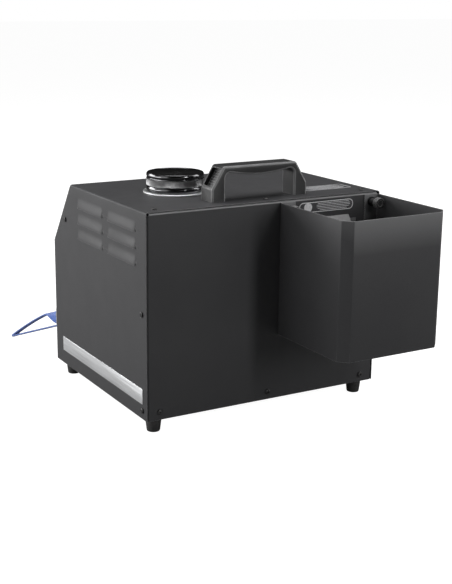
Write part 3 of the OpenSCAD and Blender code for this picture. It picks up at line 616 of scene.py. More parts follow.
def circuit_board():
    look = Look("circuit_board", (0.015, 0.10, 0.04), 0.32, edge=0.2)
    tracks = look.math("GREATER_THAN", look.noise(7, 0, (1, 5, 1)), 0.56)
    look.tint(tracks, (0.03, 0.20, 0.08))
    look.mottle(30, (0.02, 0.13, 0.05), strength=0.5)
    look.uneven(5, 0.06)
    return look.bump(tracks, 0.03)


def display_glass():
    look = Look("display_glass", (0.012, 0.018, 0.03), 0.08, edge=0.2)
    look.mottle(20, (0.018, 0.028, 0.05))
    return look.uneven(12, 0.03)


def label_film():
    look = Look("label_film", (0.040, 0.040, 0.043), 0.34, edge=0.05)
    look.mottle(14, (0.055, 0.055, 0.058))
    return look.uneven(6, 0.08)


def label_ink():
    look = Look("label_ink", (0.78, 0.78, 0.79), 0.5, edge=0.02)
    look.mottle(2.2, (0.50, 0.50, 0.51))
    return look.uneven(2, 0.08)


def blue_webbing():
    look = Look("blue_webbing", (0.022, 0.075, 0.36), 0.85, edge=0.4)
    along = look.waves("Y", 1.1)
    across = look.waves("X", 0.9)
    upright = look.waves("Z", 1.1)
    weave = look.math("MULTIPLY", look.math("ADD", along, upright), look.math("ADD", across, 0.35))
    look.tint(look.ranged(weave, 0, 0.8, 0.2, 1.9), (0.065, 0.21, 0.62))
    look.mottle(12, (0.02, 0.07, 0.32), strength=0.5)
    look.set("Sheen Weight", 0.5)
    look.bump(weave, 0.25)
    return look.grain(0.4, 0.08, detail=4)


slot_looks = [powder_coat(), turned_metal(), brushed_silver(), zinc_steel(), black_screw(), moulded_black(),
              gloss_black(), black_rubber(), milky_plastic(), cast_aluminium(), ceramic_wool(), brass_metal(),
              copper_winding(), circuit_board(), display_glass(), label_film(), blue_webbing()]
looks = {look.name: look.material for look in slot_looks}
ink = label_ink().material
rim_painted_highlight = black_painted_rim_highlight().material
knurl = knurled_metal().material
duct_metal = bare_sheet().material


# ---- case ----

def rear_edge(z):
    """Where the cover's side ends towards the rear at a height."""
    if z <= Z_SLOPE:
        return Y_REAR
    return Y_REAR - (z - Z_SLOPE) * (Y_REAR - Y_TOP) / (Z_TOP - Z_SLOPE)


def louvre_bottoms():
    """Heights of the louvres' lower edges, from the top row down."""
    return [LOUVRE_TOP - LOUVRE_H - row * LOUVRE_PITCH for row in range(3)]


def louvre_rise(y, z):
    """How far the side stands proud at a point, 0 outside every louvre."""
    for bottom in louvre_bottoms():
        t = (z - bottom) / LOUVRE_H
        if not -0.001 <= t <= 1.001:
            continue
        for start in LOUVRE_STARTS:
            middle = start + LOUVRE_L / 2
            half = LOUVRE_L / 2 - LOUVRE_TAPER * t
            inside = min((half - abs(y - middle)) / LOUVRE_END_R, 1)
            if inside > 0:
                return LOUVRE_OUT * smooth_step(1 - t) * math.sqrt(1 - (1 - inside) ** 2)
    return 0


def side_rows():
    """Heights of the grid on a side: fine across each louvre."""
    rows = [Z_LOW, Z_LOW + 90, Z_SLOPE]
    for bottom in reversed(louvre_bottoms()):
        rows.append(bottom - LOUVRE_SLOT)
        rows += [bottom + LOUVRE_H * i / 10 for i in range(11)]
    return rows + [Z_TOP - BEND_R]


def side_columns():
    """Depths of the grid: fine at both ends of each louvre."""
    fine = [0, 0.6, 1.4, 2.4, 3.6, 5, 6.5, 8.5, 11, 14]
    columns = [Y_FRONT, Y_FRONT + 14]
    for start in LOUVRE_STARTS:
        columns += [start + f for f in fine]
        columns += [start + LOUVRE_L / 2 + step for step in (-15, 0, 15)]
        columns += [start + LOUVRE_L - f for f in reversed(fine)]
    return columns + [columns[-1] + 3]


def cover_sheet():
    """One folded sheet: left side with louvres, top, right side with louvres."""
    rows = side_rows()
    left = [(-HALF_W, z, -1) for z in rows]
    bend = [(x, z, 0) for x, z in arc(-HALF_W + BEND_R, Z_TOP - BEND_R, BEND_R, 180, 90, 8)[1:]]
    half = left + bend
    profile = half + [(-x, z, -side) for x, z, side in reversed(half)]
    columns = side_columns()
    last = columns[-1]
    shares = [0] * len(columns) + [0.33, 0.67, 1]
    columns += [last] * 3
    bm = bmesh.new()
    grid = []
    for x, z, side in profile:
        line = []
        for y, share in zip(columns, shares):
            deep = y + share * (rear_edge(z) - last)
            out = louvre_rise(deep, z) if side else 0
            line.append((bm.verts.new((x + side * out, deep, z)), out))
        grid.append(line)
    for i in range(len(grid) - 1):
        slot_below = abs(abs(grid[i + 1][0][0].co.z - grid[i][0][0].co.z) - LOUVRE_SLOT) < 0.01
        for k in range(len(columns) - 1):
            corners = [grid[i][k], grid[i + 1][k], grid[i + 1][k + 1], grid[i][k + 1]]
            lifted = sum(1 for _, out in corners if out > LOUVRE_OPEN * LOUVRE_OUT)
            if slot_below and lifted == 2:
                continue
            bm.faces.new([vert for vert, _ in corners])
    made = piece("cover_sheet", bm, "powder_coat_black", "case", ["cover"])
    thicken(made)
    hole = bmesh.new()
    bmesh.ops.create_cone(hole, cap_ends=True, segments=96, radius1=NECK_HOLE_R, radius2=NECK_HOLE_R,
                          depth=20, matrix=Matrix.Translation((CAP_X, CAP_Y, Z_TOP)))
    return cut(made, [hole])


def front_panel_sheet():
    """A pan whose side and top edges fold back behind the front."""
    w = HALF_W - SHEET - GAP
    top = Z_TOP - SHEET - GAP
    bend_z = top - BEND_R
    back = Y_FRONT + FLANGE
    plan = [(-w, back)]
    plan += arc(-w + BEND_R, Y_FRONT + BEND_R, BEND_R, 180, 270, 8)
    plan += arc(w - BEND_R, Y_FRONT + BEND_R, BEND_R, 270, 360, 8)
    plan.append((w, back))
    bm = bmesh.new()
    low = [bm.verts.new((x, y, Z_LOW)) for x, y in plan]
    high = [bm.verts.new((x, y, bend_z)) for x, y in plan]
    for i in range(len(plan) - 1):
        bm.faces.new((low[i], low[i + 1], high[i + 1], high[i]))
    fold = arc(Y_FRONT + BEND_R, bend_z, BEND_R, 180, 90, 8)[1:] + [(back, top)]
    left = next(v for v in high if abs(v.co.x + w - BEND_R) < 0.01 and abs(v.co.y - Y_FRONT) < 0.01)
    right = next(v for v in high if abs(v.co.x - w + BEND_R) < 0.01 and abs(v.co.y - Y_FRONT) < 0.01)
    before = (left, right)
    for y, z in fold:
        after = (bm.verts.new((left.co.x, y, z)), bm.verts.new((right.co.x, y, z)))
        bm.faces.new((before[0], before[1], after[1], after[0]))
        before = after
    made = piece("front_panel_sheet", bm, "powder_coat_black", "case", ["front_panel"])
    thicken(made)
    outlet = bmesh.new()
    bmesh.ops.create_cone(outlet, cap_ends=True, segments=64, radius1=OUTLET_R, radius2=OUTLET_R, depth=20,
                          matrix=facing((OUTLET_X, Y_FRONT, OUTLET_Z), (0, -1, 0)))
    slots = bmesh.new()
    middle = (hood_low.x + hood_high.x) / 2
    for side in (-1, 1):
        add_block(slots, (middle + side * TAB_X, Y_FRONT, hood_low.z + SHEET / 2), (TAB_W + 1, 8, 2))
    return cut(made, [outlet, slots])


def hood_sheet():
    """Open-top box with folded corners, a floor, two flanges and two tabs."""
    x0, x1 = hood_low.x, hood_high.x
    y0 = hood_low.y
    z0, z1 = hood_low.z, hood_high.z
    c = HOOD_CORNER
    corners = [(x0 + HOOD_FLANGE, Y_FRONT), (x0, Y_FRONT), (x0, y0 + c), (x0 + c, y0),
               (x1 - c, y0), (x1, y0 + c), (x1, Y_FRONT), (x1 - HOOD_FLANGE, Y_FRONT)]
    plan = fillet(corners, HOOD_BEND_R, 5)
    bm = bmesh.new()
    low = [bm.verts.new((x, y, z0)) for x, y in plan]
    high = [bm.verts.new((x, y, z1)) for x, y in plan]
    for i in range(len(plan) - 1):
        bm.faces.new((low[i], low[i + 1], high[i + 1], high[i]))
    made = piece("hood_box", bm, "powder_coat_black", "hood", ["hood"])
    thicken(made)
    base = bmesh.new()
    base.from_mesh(made.data)
    bmesh.ops.scale(base, vec=(1 / MM, 1 / MM, 1 / MM), verts=base.verts)
    s = SHEET + 0.02
    floor = [(x0 + s, Y_FRONT - s), (x0 + s, y0 + c + s / 2), (x0 + c + s / 2, y0 + s),
             (x1 - c - s / 2, y0 + s), (x1 - s, y0 + c + s / 2), (x1 - s, Y_FRONT - s)]
    add_prism(base, floor, z0 + 0.1, z0 + SHEET)
    middle = (x0 + x1) / 2
    for side in (-1, 1):
        add_block(base, (middle + side * TAB_X, Y_FRONT + 2.5, z0 + SHEET / 2), (TAB_W, 10, SHEET - 0.1))
    bmesh.ops.scale(base, vec=(MM, MM, MM), verts=base.verts)
    base.to_mesh(made.data)
    base.free()
    return round_edges(made, 0.3, 2, 60)


def cross_recess(size, deep, top):
    """Two tapered blades that cut a cross recess into a screw's top."""
    blades = []
    for turn in (0, math.pi / 2):
        bm = bmesh.new()
        for vert in add_block(bm, (0, 0, 0), (size, size * 0.26, 2 * deep)):
            if vert.co.z < 0:
                vert.co.x *= 0.45
                vert.co.y *= 0.7
        bm.transform(Matrix.Translation((0, 0, top)) @ Matrix.Rotation(turn, 4, "Z"))
        blades.append(bm)
    return blades


def pan_head(name, r, h, length, shaft_r):
    """A pan head screw with a cross recess, head seat at z = 0, as a mesh in millimetres."""
    bm = bmesh.new()
    profile = [(0, -length), (shaft_r * 0.6, -length), (shaft_r, 0.8 - length), (shaft_r, 0), (r * 0.96, 0)]
    profile += [(r - 0.55 * h + 0.55 * h * math.cos(a), 0.45 * h + 0.55 * h * math.sin(a))
                for a in (math.radians(d) for d in (0, 22, 45, 68, 85))]
    profile.append((0, h))
    add_lathe(bm, profile, segments=40)
    made = piece(name, bm, "black_screw", "case")
    cut(made, cross_recess(r * 1.15, h * 0.62, h))
    out = bmesh.new()
    out.from_mesh(made.data)
    bmesh.ops.scale(out, vec=(1 / MM, 1 / MM, 1 / MM), verts=out.verts)
    mesh = made.data
    bpy.data.objects.remove(made)
    out.to_mesh(mesh)
    out.free()
    return mesh


def repeat(name, template, places, slot, body, stands_for):
    """Copies of a mesh in millimetres at several places, as one piece."""
    bm = bmesh.new()
    for place in places:
        before = len(bm.verts)
        bm.from_mesh(template)
        bm.verts.ensure_lookup_table()
        bmesh.ops.transform(bm, matrix=place, verts=bm.verts[before:])
    return piece(name, bm, slot, body, stands_for)


def case_screw_places():
    """Where each case screw's head sits and which way it faces."""
    places = []
    for low, high in solids("case_screws"):
        middle = (low + high) / 2
        if high.z > Z_TOP:
            places.append(facing((middle.x, middle.y, Z_TOP), (0, 0, 1)))
        elif low.y < Y_FRONT:
            places.append(facing((middle.x, Y_FRONT, middle.z), (0, -1, 0)))
        elif high.y > Y_REAR:
            places.append(facing((middle.x, Y_REAR, middle.z), (0, 1, 0)))
        elif high.x > HALF_W:
            places.append(facing((HALF_W, middle.y, middle.z), (1, 0, 0)))
        elif low.x < -HALF_W:
            places.append(facing((-HALF_W, middle.y, middle.z), (-1, 0, 0)))
        else:
            places.append(facing((middle.x, middle.y, low.z + 2.2), (0, 0, -1)))
    return places


def screws():
    """The case's pan head screws, each turned a little further, and the outlet duct's."""
    pan = pan_head("pan_screw", 3.8, 2.2, 10, 2)
    turned = [place @ Matrix.Rotation(0.9 * i, 4, "Z") for i, place in enumerate(case_screw_places())]
    repeat("cover_screws", pan, turned, "black_screw", "case", ["case_screws"])
    small = pan_head("small_screw", 3, 1.8, 7, 1.5)
    places = []
    for low, high in solids("duct_screws"):
        middle = (low + high) / 2
        places.append(facing((middle.x, Y_FRONT - SHEET, middle.z), (0, -1, 0)))
    repeat("duct_roof_screws", small, places, slot_of["duct_screws"], "case", ["duct_screws"])


def feet():
    """Tapered rubber feet with a rounded tread and a recess for the screw."""
    height = cad_box("rubber_feet")[1].z
    bore_r = 2.15
    recess_r = 4.2
    top_r = 11.4
    profile = [(bore_r, height), (bore_r, height / 2), (recess_r, height / 2)]
    profile += [(recess_r, 0.6), (recess_r + 0.6, 0)]
    profile += [(8.0, 0), (8.6, 0.25), (9.0, 0.9), (9.25, 2)]
    profile += [(top_r, height - 1.2), (top_r - 0.2, height - 0.4), (top_r - 0.7, height), (bore_r, height)]
    bm = bmesh.new()
    add_lathe(bm, profile, segments=64)
    bmesh.ops.remove_doubles(bm, verts=bm.verts, dist=0.001)
    bmesh.ops.recalc_face_normals(bm, faces=bm.faces)
    mesh = bpy.data.meshes.new("foot")
    bm.to_mesh(mesh)
    bm.free()
    middles = [(low + high) / 2 for low, high in solids("rubber_feet")]
    places = [Matrix.Translation((middle.x, middle.y, 0)) for middle in middles]
    return repeat("feet", mesh, places, "black_rubber", "case", ["rubber_feet"])


# ---- handle ----

def handle():
    """Moulded carry handle: sloped legs, a belly under the grip and a ribbed recess in each slope."""
    half = (grip_high.x - grip_low.x) / 2
    tall = grip_high.z - grip_low.z
    depth = grip_high.y - grip_low.y
    middle = (grip_low.y + grip_high.y) / 2
    shoulder = 17                           # height where a leg starts to slope in
    run = 18                                # how far the slope runs in
    inner = half - 21                       # the legs are 21 wide
    opening = tall - 9                      # the grip is 9 thick at its ends
    corner = 7
    belly = 5
    outline = [(-inner, 0), (-half, 0), (-half, shoulder), (run - half, tall),
               (half - run, tall), (half, shoulder), (half, 0), (inner, 0)]
    outline = fillet(outline, [0, 0, 4, 5, 5, 4, 0, 0], 6)
    outline += arc(inner - corner, opening - corner, corner, 0, 90)
    outline += [((1 - 2 * t) * (inner - corner), opening - belly * math.sin(math.pi * t))
                for t in (i / 16 for i in range(1, 16))]
    outline += arc(corner - inner, opening - corner, corner, 90, 180)
    bm = bmesh.new()
    upright = Matrix(((1, 0, 0, 0), (0, 0, 1, 0), (0, 1, 0, 0), (0, 0, 0, 1)))
    add_prism(bm, outline, middle - depth / 2, middle + depth / 2,
              Matrix.Translation((0, 0, Z_TOP)) @ upright)
    bmesh.ops.recalc_face_normals(bm, faces=bm.faces)
    rims = [e for e in bm.edges
            if abs(e.verts[0].co.y - e.verts[1].co.y) < 0.01
            and max(e.verts[0].co.z, e.verts[1].co.z) > Z_TOP + 0.1]
    # the bevel faces take material 1, the lighter copy: a painted highlight along the handle's rims
    bmesh.ops.bevel(bm, geom=rims, offset=2.6, segments=4, profile=0.5, affect="EDGES", material=1)
    made = piece("handle", bm, "moulded_black", "case", ["carry_handle"], crease=40)
    made.data.materials.append(rim_painted_highlight)
    slope = math.atan2(tall - shoulder, run)
    channel_w = depth - 8
    channel_deep = 6
    cutters = []
    ribs = bmesh.new()
    for side in (-1, 1):
        place = (Matrix.Translation((side * (half - run / 2), middle, Z_TOP + (shoulder + tall) / 2))
                 @ Matrix.Rotation(side * slope, 4, "Y"))
        channel = bmesh.new()
        add_prism(channel, rounded_box(27, channel_w, 2.5), -channel_deep, 8, place)
        cutters.append(channel)
        for step in range(-3, 4):
            add_block(ribs, (step * 3.7, 0, 0.2 - channel_deep), (1.0, channel_w - 0.4, 0.8), place)
    cut(made, cutters)
    piece("handle_ribs", ribs, "moulded_black", "case")


# ---- filler ----

def polished_band(r, low, high):
    """A slightly barrelled stretch of the cap's outside."""
    steps = 8
    barrel = 1.1
    return [(r - barrel * (2 * i / steps - 1) ** 2, low + (high - low) * i / steps) for i in range(steps + 1)]


def filler():
    """The cap and the neck it screws on to."""
    filler_cap()
    filler_neck()


def filler_cap():
    """Turned cap with a dished top, two polished bands and a knurled one between two grooves."""
    h = cap_high.z - cap_low.z
    r = CAP_R
    groove_r = r - 1.0
    knurl_low = 8.3
    knurl_high = h - 8.0
    profile = [(0, h - CAP_SKIN), (CAP_BORE_R, h - CAP_SKIN), (CAP_BORE_R, 0), (r - 1.4, 0)]
    profile += polished_band(r, 0.2, 6.8)
    profile += [(groove_r, 7.2), (groove_r, 8.0)]
    profile += [(r, knurl_low, 0), (r, knurl_low + 0.5, 1)]
    profile += [(r, knurl_high - 0.5, 1), (r, knurl_high, 0)]
    profile += [(groove_r, knurl_high + 0.3), (groove_r, knurl_high + 1.1)]
    profile += polished_band(r, knurl_high + 1.4, h - 0.2)
    profile += [(r - 1.5, h), (r - 2.6, h), (r - 3.4, h - 0.5), (r * 0.55, h - 1.6), (0, h - 2.0)]
    bm = bmesh.new()
    place = Matrix.Translation((CAP_X, CAP_Y, cap_low.z))
    add_lathe(bm, profile, place, segments=560, ripple=0.7, ripples=140)
    made = piece("knurled_cap", bm, "turned_black_metal", "filler_cap", ["filler_cap"], crease=25)
    made.data.materials.append(knurl)
    for face in made.data.polygons:
        out = math.hypot(face.center.x / MM - CAP_X, face.center.y / MM - CAP_Y)
        if knurl_low < face.center.z / MM - cap_low.z < knurl_high and out > r - 1.2:
            face.material_index = 1


def filler_neck():
    """Flanged neck with a trapezoidal thread, drawn as rings."""
    low = neck_low.z
    rim = neck_high.z
    flange_r = (neck_high.x - neck_low.x) / 2
    flange_top = Z_TOP + 2
    tube_r = NECK_HOLE_R - 0.2
    root_r = NECK_R - 1
    thread_pitch = 3.0
    profile = [(NECK_BORE_R, low), (tube_r, low), (tube_r, Z_TOP), (flange_r - 0.5, Z_TOP)]
    profile += [(flange_r, Z_TOP + 0.4), (flange_r, flange_top - 0.5), (flange_r - 0.5, flange_top)]
    profile += [(root_r, flange_top), (root_r, flange_top + 1.5)]
    z = flange_top + 1.5
    while z < rim - 3.6:
        profile += [(NECK_R, z + 0.8), (NECK_R, z + 1.3), (root_r, z + 2.1), (root_r, z + 2.6)]
        z += thread_pitch
    profile += [(root_r, rim - 0.5), (root_r - 0.5, rim), (NECK_BORE_R + 0.5, rim),
                (NECK_BORE_R, rim - 0.5), (NECK_BORE_R, low)]
    bm = bmesh.new()
    add_lathe(bm, profile, Matrix.Translation((CAP_X, CAP_Y, 0)), segments=128)
    bmesh.ops.remove_doubles(bm, verts=bm.verts, dist=0.001)
    bmesh.ops.recalc_face_normals(bm, faces=bm.faces)
    piece("threaded_neck", bm, slot_of["filler_neck"], "case", ["filler_neck"])


# ---- thumbscrews ----

def thumbscrew(side):
    """Thumbscrew with a fluted head, its neck and a threaded shank; heights run from the head's face."""
    node = side + "_thumbscrew"
    low, high = cad_box(node)
    place = facing(((low.x + high.x) / 2, low.y, (low.z + high.z) / 2), (0, -1, 0))
    end = low.y - high.y
    crest_r = 2.42
    root_r = 2.05
    shoulder = -20
    neck_r = 4.6
    head_r = 7.8
    profile = [(0, end), (1.6, end), (2.3, end + 0.9)]
    thread = end + 0.9
    while thread < shoulder - 2.5:
        profile += [(crest_r, thread + 0.2), (root_r, thread + 0.6)]
        thread += 0.8
    profile += [(crest_r, shoulder - 1.4), (crest_r, shoulder), (neck_r - 0.3, shoulder)]
    profile += [(neck_r, shoulder + 0.4), (neck_r, -9.4), (5.2, -8.4), (head_r - 0.8, -8.0)]
    profile += [(head_r - 0.3, -7.7, 0), (head_r, -7.2, 1), (head_r, -0.9, 1), (head_r - 0.3, -0.35, 0)]
    profile += [(head_r - 0.9, 0), (neck_r, 0), (neck_r - 0.6, -0.5), (0, -0.8)]
    bm = bmesh.new()
    add_lathe(bm, profile, place, segments=192, ripple=0.6, ripples=32)
    piece(side + "_thumb_knob", bm, slot_of[node], node, [node], crease=28)


# ---- labels and strip ----

def film(bm, outline, place, thick, material=0):
    """Adds a flat film; material 1 is print."""
    before = len(bm.faces)
    add_prism(bm, outline, 0, thick, place)
    bm.faces.ensure_lookup_table()
    for face in bm.faces[before:]:
        face.material_index = material


def outline_ring(bm, w, h, r, line, place, thick):
    """A thin printed frame."""
    outer = rounded_box(w, h, r, 8)
    inner = rounded_box(w - 2 * line, h - 2 * line, max(r - line, 0.1), 8)
    loops = [[bm.verts.new(place @ Vector((x, y, z))) for x, y in outline]
             for outline, z in ((outer, 0), (outer, thick), (inner, thick), (inner, 0))]
    for first, second in zip(loops, loops[1:] + loops[:1]):
        for i in range(len(outer)):
            k = (i + 1) % len(outer)
            face = bm.faces.new((first[i], first[k], second[k], second[i]))
            face.material_index = 1


def printed_bars(bm, place, lengths, pitch, height, r, x=0):
    """Plain bars in place of lines of text, evenly spaced about the middle."""
    for i, length in enumerate(lengths):
        y = (i - (len(lengths) - 1) / 2) * pitch
        outline = [(x + across, y + up) for across, up in rounded_box(length, height, r, 3)]
        film(bm, outline, place, FILM + PRINT_RISE, 1)


def labels():
    """Two blank labels: a frame, a plain disc and plain bars where the print would be."""
    boxes = sorted(solids("warning_labels"), key=lambda pair: pair[0].y)
    bm = bmesh.new()
    low, high = boxes[0]
    w, h = high.x - low.x, high.z - low.z
    place = facing(((low.x + high.x) / 2, Y_FRONT, (low.z + high.z) / 2), (0, -1, 0))
    film(bm, rounded_box(w, h, h / 2 - 0.5, 8), place, FILM)
    outline_ring(bm, w - 0.6, h - 0.6, h / 2 - 0.8, 1.0, place, FILM + PRINT_RISE)
    disc = [(h + x - w / 2, y) for x, y in arc(0, 0, h * 0.44, 0, 360 * 31 / 32, 31)]
    film(bm, disc, place, FILM + PRINT_RISE, 1)
    lengths = [w * (0.62 - 0.02 * row * row + 0.02 * row) for row in range(-2, 3)]
    printed_bars(bm, place, lengths, h * 0.15, 0.65, 0.25, w * 0.13)
    low, high = boxes[1]
    w, h = high.x - low.x, high.y - low.y
    place = Matrix.Translation(((low.x + high.x) / 2, (low.y + high.y) / 2, Z_TOP))
    film(bm, rounded_box(w, h, 3, 6), place, FILM)
    outline_ring(bm, w - 2, h - 2, 2.5, 1.1, place, FILM + PRINT_RISE)
    lengths = [w * (0.8 - 0.02 * row * row - 0.02 * row) for row in range(-3, 4)]
    printed_bars(bm, place, lengths, h * 0.11, 0.9, 0.3)
    bmesh.ops.recalc_face_normals(bm, faces=bm.faces)
    made = piece("blank_labels", bm, "label_film", "case", ["warning_labels"])
    made.data.materials.append(ink)


def strip():
    """Brushed strip low on the left side, with softened corners."""
    w = strip_high.y - strip_low.y
    h = strip_high.z - strip_low.z
    middle = (strip_low + strip_high) / 2
    place = facing((strip_high.x, middle.y, middle.z), (-1, 0, 0))
    if abs((place.to_3x3() @ Vector((1, 0, 0))).y) < 0.5:
        place = place @ Matrix.Rotation(math.pi / 2, 4, "Z")
    bm = bmesh.new()
    add_prism(bm, rounded_box(w, h, 1.2, 5), 0, strip_high.x - strip_low.x, place)
    made = piece("badge_strip", bm, "brushed_silver", "case", ["side_strip"])
    round_edges(made, 0.25, 2, 60)


# ---- strap ----

def ribbon_grid(bm, path, thick):
    """Adds a ribbon: path points are (centre, width direction with length, face normal)."""
    rings = []
    across = 6
    for centre, wide, normal in path:
        ring = []
        for k in range(across + 1):
            t = 2 * k / across - 1
            ring.append(bm.verts.new(centre + wide * t + normal * thick * math.sqrt(1 - 0.75 * t ** 4)))
        for k in range(across, -1, -1):
            t = 2 * k / across - 1
            ring.append(bm.verts.new(centre + wide * t - normal * thick * math.sqrt(1 - 0.75 * t ** 4)))
        rings.append(ring)
    count = len(rings[0])
    for low, high in zip(rings, rings[1:]):
        for i in range(count):
            k = (i + 1) % count
            bm.faces.new((low[i], low[k], high[k], high[i]))
    bm.faces.new(list(reversed(rings[0])))
    bm.faces.new(rings[-1])


def strap():
    """Hook-and-loop strap: upright at the case, twisting flat into two runs that meet at the floor."""
    far = cad_box("cable_strap")[1].y
    pin = Vector((-174, Y_REAR + 7.5, Z_LOW + 67))
    lean = math.radians(3)
    half_w = 5
    band_half_w = 11.5                      # where the strap is still upright
    twist_end = 56
    used = 0.985                            # share of the reach between the eye and the tip's end
    start = Vector((pin.x, pin.y, 0))
    reach = (far - start.y - half_w * math.sin(lean)) / math.cos(lean)
    turn = Matrix.Rotation(lean, 4, "Z")
    wide = turn @ Vector((1, 0, 0))
    up = Vector((0, 0, 1))

    def upper(t):
        return 6 + (pin.z + 2) * (1 - t ** 1.2)

    def lower(t):
        return 1 + (pin.z - 19.5) * (1 - t)

    def at(s, z):
        return start + turn @ Vector((0, s, z))

    def stations(steps):
        return [reach * i / steps * used + 1.0 for i in range(steps + 1)]

    bm = bmesh.new()
    path = []
    for s in stations(40):
        t = min(s / reach, 1)
        turned = smooth_step(s / twist_end)
        angle = math.pi / 2 * (1 - turned)
        width = band_half_w + (half_w - band_half_w) * turned
        direction = (wide * math.cos(angle) + up * math.sin(angle)) * width
        normal = (up * math.cos(angle) - wide * math.sin(angle)).normalized()
        sag = width * math.sin(angle)
        path.append((at(s, upper(t) - 1.8 - sag), direction, normal))
    ribbon_grid(bm, path, 1.7)
    path = [(at(s, lower(min(s / reach, 1)) + 1.8), wide * half_w, up) for s in stations(24)]
    ribbon_grid(bm, path, 1.6)
    # the stitched tip, where both runs lie on each other
    path = []
    for s in (reach - 11 + 11 * i / 8 for i in range(9)):
        between = (upper(s / reach) + lower(s / reach)) / 2
        path.append((at(s - 0.6, between), wide * half_w, up))
    ribbon_grid(bm, path, 2.4)
    made = piece("hook_and_loop_strap", bm, "blue_webbing", "cable_strap", ["cable_strap"], crease=50)
    # the loops of strap that go round the anchor's pin
    eye = bmesh.new()
    eye_r = 3.4
    bore_r = 1.48
    profile = [(bore_r, -half_w), (eye_r - 0.2, -half_w), (eye_r, 0.3 - half_w), (eye_r, half_w - 0.3),
               (eye_r - 0.2, half_w), (bore_r, half_w), (bore_r, -half_w)]
    add_lathe(eye, profile, facing(pin, (1, 0, 0)), segments=48)
    bmesh.ops.remove_doubles(eye, verts=eye.verts, dist=0.001)
    bmesh.ops.recalc_face_normals(eye, faces=eye.faces)
    piece("strap_eye", eye, "blue_webbing", "cable_strap")
    return made


# ---- rear ----

def guard():
    """Fan guard of round wire rings, spokes and eyes."""
    low, high = cad_box("fan_guard")
    centre = Vector(((low.x + high.x) / 2, Y_REAR, (low.z + high.z) / 2))
    place = facing(centre, (0, 1, 0))
    wire = 0.9
    bm = bmesh.new()
    for r in (9, 18, 27, 36):
        ring = [place @ Vector((r * math.cos(a), r * math.sin(a), 2.6))
                for a in (2 * math.pi * i / 96 for i in range(96))]
        add_tube(bm, ring, wire, closed=True)
    for quarter in range(4):
        a = math.radians(45 + 90 * quarter)
        spoke = Vector((math.cos(a), math.sin(a), 0))
        lift = Vector((0, 0, 1))
        add_tube(bm, [place @ (spoke * r + lift) for r in (7, 47)], wire)
        eye = [place @ (spoke * 50.2 + lift + Vector((3 * math.cos(b), 3 * math.sin(b), 0)))
               for b in (2 * math.pi * i / 24 for i in range(24))]
        add_tube(bm, eye, wire, closed=True)
    piece("wire_guard", bm, slot_of["fan_guard"], "case", ["fan_guard"])


def springs():
    """The pump's two coil springs."""
    bm = bmesh.new()
    for low, high in solids("pump_spring"):
        middle = (low + high) / 2
        turns = 7
        r = (high.x - low.x) / 2 - 0.5
        wire = 0.45
        count = turns * 20
        run = high.y - low.y - 2 * wire
        path = []
        for i in range(count + 1):
            a = 2 * math.pi * turns * i / count
            y = low.y + wire + run * i / count
            path.append((middle.x + r * math.cos(a), y, middle.z + r * math.sin(a)))
        add_tube(bm, path, wire, sides=8)
    piece("coil_springs", bm, slot_of["pump_spring"], "case", ["pump_spring"])


def slope_frame():
    """Middle of the sloped face: X to the right as seen from behind, Z outwards."""
    middle = Vector((0, (Y_REAR + Y_TOP) / 2, (Z_SLOPE + Z_TOP) / 2))
    outward = Vector((0, Z_TOP - Z_SLOPE, Y_REAR - Y_TOP)).normalized()
    right = Vector((-1, 0, 0))
    up = outward.cross(right)
    turn = Matrix((right, up, outward)).transposed().to_4x4()
    return Matrix.Translation(middle) @ turn


def key_marks():
    """Printed signs over the four buttons: bars, arrow down, arrow up, square."""
    place = slope_frame()
    lift = 0.86
    bm = bmesh.new()
    y = 12
    for row in (-1.4, 0, 1.4):
        film(bm, [(x + 14, v + y + row) for x, v in rounded_box(5, 0.7, 0.2, 2)], place, lift)
    film(bm, [(34 - 2.8, y + 1.8), (34, y - 2), (34 + 2.8, y + 1.8)], place, lift)
    film(bm, [(54 - 2.8, y - 1.8), (54 + 2.8, y - 1.8), (54, y + 2)], place, lift)
    film(bm, [(x + 74, v + y) for x, v in rounded_box(4, 4, 0.4, 2)], place, lift)
    piece("key_marks", bm, "label_film", "case", look=ink)


# ---- CAD pieces that stay ----

def dress_cad():
    """Gives each CAD node that is still shown its material."""
    for name, node in frame["nodes"].items():
        if node.hide_render:
            continue
        node.data.materials.clear()
        node.data.materials.append(duct_metal if name == "outlet_duct" else looks[slot_of[name]])


# ---- studio, in metres ----

AIM = (0, -0.05, 0.17)                      # what every soft box points at
WORLD_LIGHT = 0.02                          # the surroundings' strength as a light
FLOOR_GLOW = 0.97                           # how bright the floor is to the camera where no light falls


def area_light(name, place, w, h, power):
    """A soft box aimed at the middle of the machine; metres and watts."""
    data = bpy.data.lights.new(name, "AREA")
    data.shape = "RECTANGLE"
    data.size = w
    data.size_y = h
    data.energy = power
    lamp = bpy.data.objects.new(name, data)
    lamp.location = place
    lamp.rotation_euler = (Vector(AIM) - Vector(place)).to_track_quat("-Z", "Y").to_euler()
    bpy.context.scene.collection.objects.link(lamp)


def background(nodes, strength):
    """A white background's output."""
    node = nodes.new("ShaderNodeBackground")
    node.inputs["Color"].default_value = (1, 1, 1, 1)
    node.inputs["Strength"].default_value = strength
    return node.outputs["Background"]


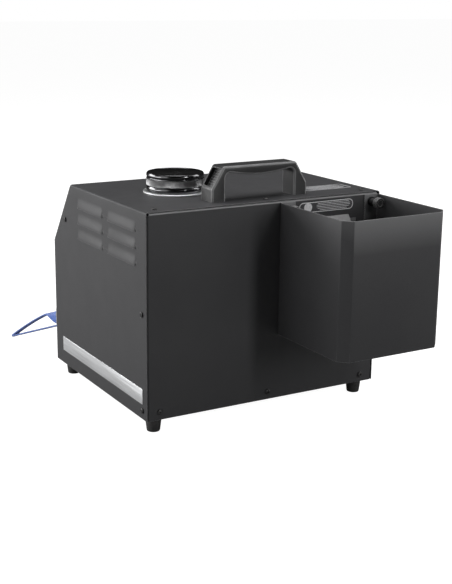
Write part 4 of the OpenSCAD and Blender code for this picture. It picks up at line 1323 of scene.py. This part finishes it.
def studio():
    """White surroundings for the camera, dimmer for the light, and soft boxes at the left and above."""
    world = bpy.data.worlds.new("studio")
    bpy.context.scene.world = world
    world.use_nodes = True
    nodes = world.node_tree.nodes
    links = world.node_tree.links
    nodes.clear()
    rays = nodes.new("ShaderNodeLightPath")
    mix = nodes.new("ShaderNodeMixShader")
    out = nodes.new("ShaderNodeOutputWorld")
    links.new(rays.outputs["Is Camera Ray"], mix.inputs["Fac"])
    links.new(background(nodes, WORLD_LIGHT), mix.inputs[1])
    links.new(background(nodes, 1.0), mix.inputs[2])
    links.new(mix.outputs["Shader"], out.inputs["Surface"])

    area_light("left_box", (-2.2, -0.5, 0.9), 1.6, 1.6, 10)
    area_light("left_low_box", (-2.2, 0.4, 0.35), 1.2, 0.6, 15)
    area_light("left_rear_box", (-1.7, 1.6, 0.8), 1.4, 1.0, 44)
    area_light("front_strip", (0.6, -2.3, 0.9), 0.25, 1.2, 18)
    area_light("key_box", (1.2, -0.8, 2.0), 0.9, 0.9, 5)
    area_light("top_box", (0.1, 0.2, 2.4), 1.8, 1.8, 53)
    area_light("right_box", (2.2, -0.9, 1.1), 0.9, 1.4, 22)

    scene = bpy.context.scene
    scene.view_settings.view_transform = "Standard"
    scene.view_settings.look = "None"
    scene.view_settings.exposure = 0
    scene.view_settings.gamma = 1


def floor():
    """A large pale floor just under the feet."""
    bm = bmesh.new()
    bmesh.ops.create_grid(bm, x_segments=1, y_segments=1, size=20)
    mesh = bpy.data.meshes.new("floor")
    bm.to_mesh(mesh)
    bm.free()
    look = Look("pale_floor", (0.30, 0.30, 0.30), 0.9)
    look.mottle(400, (0.28, 0.28, 0.28))
    look.uneven(300, 0.05)
    rays = look.nodes.new("ShaderNodeLightPath")
    look.set("Emission Color", (1, 1, 1, 1))
    look.links.new(look.math("MULTIPLY", rays.outputs["Is Camera Ray"], FLOOR_GLOW),
                   look.shader.inputs["Emission Strength"])
    mesh.materials.append(look.material)
    ground = bpy.data.objects.new("floor", mesh)
    ground.location.z = -0.0005
    bpy.context.scene.collection.objects.link(ground)


def camera():
    """The viewpoint: to the left of the front, a little above, with a slight roll."""
    data = bpy.data.cameras.new("camera")
    data.sensor_width = 36
    data.lens = 70
    data.shift_x = 0.030
    data.shift_y = -0.0195
    eye = bpy.data.objects.new("camera", data)
    left_of_front = math.radians(29.525)
    downwards = math.radians(14.247)
    roll = math.radians(0.437)
    turn = (Matrix.Rotation(-left_of_front, 4, "Z") @ Matrix.Rotation(math.pi / 2 - downwards, 4, "X")
            @ Matrix.Rotation(roll, 4, "Z"))
    eye.matrix_world = Matrix.Translation((-0.8110, -1.4478, Z_LOW * MM + 0.5528)) @ turn
    bpy.context.scene.collection.objects.link(eye)
    bpy.context.scene.camera = eye


cover_sheet()
front_panel_sheet()
hood_sheet()
screws()
feet()
handle()
filler()
thumbscrew("left")
thumbscrew("right")
labels()
strip()
strap()
guard()
springs()
key_marks()
dress_cad()
studio()
floor()
camera()
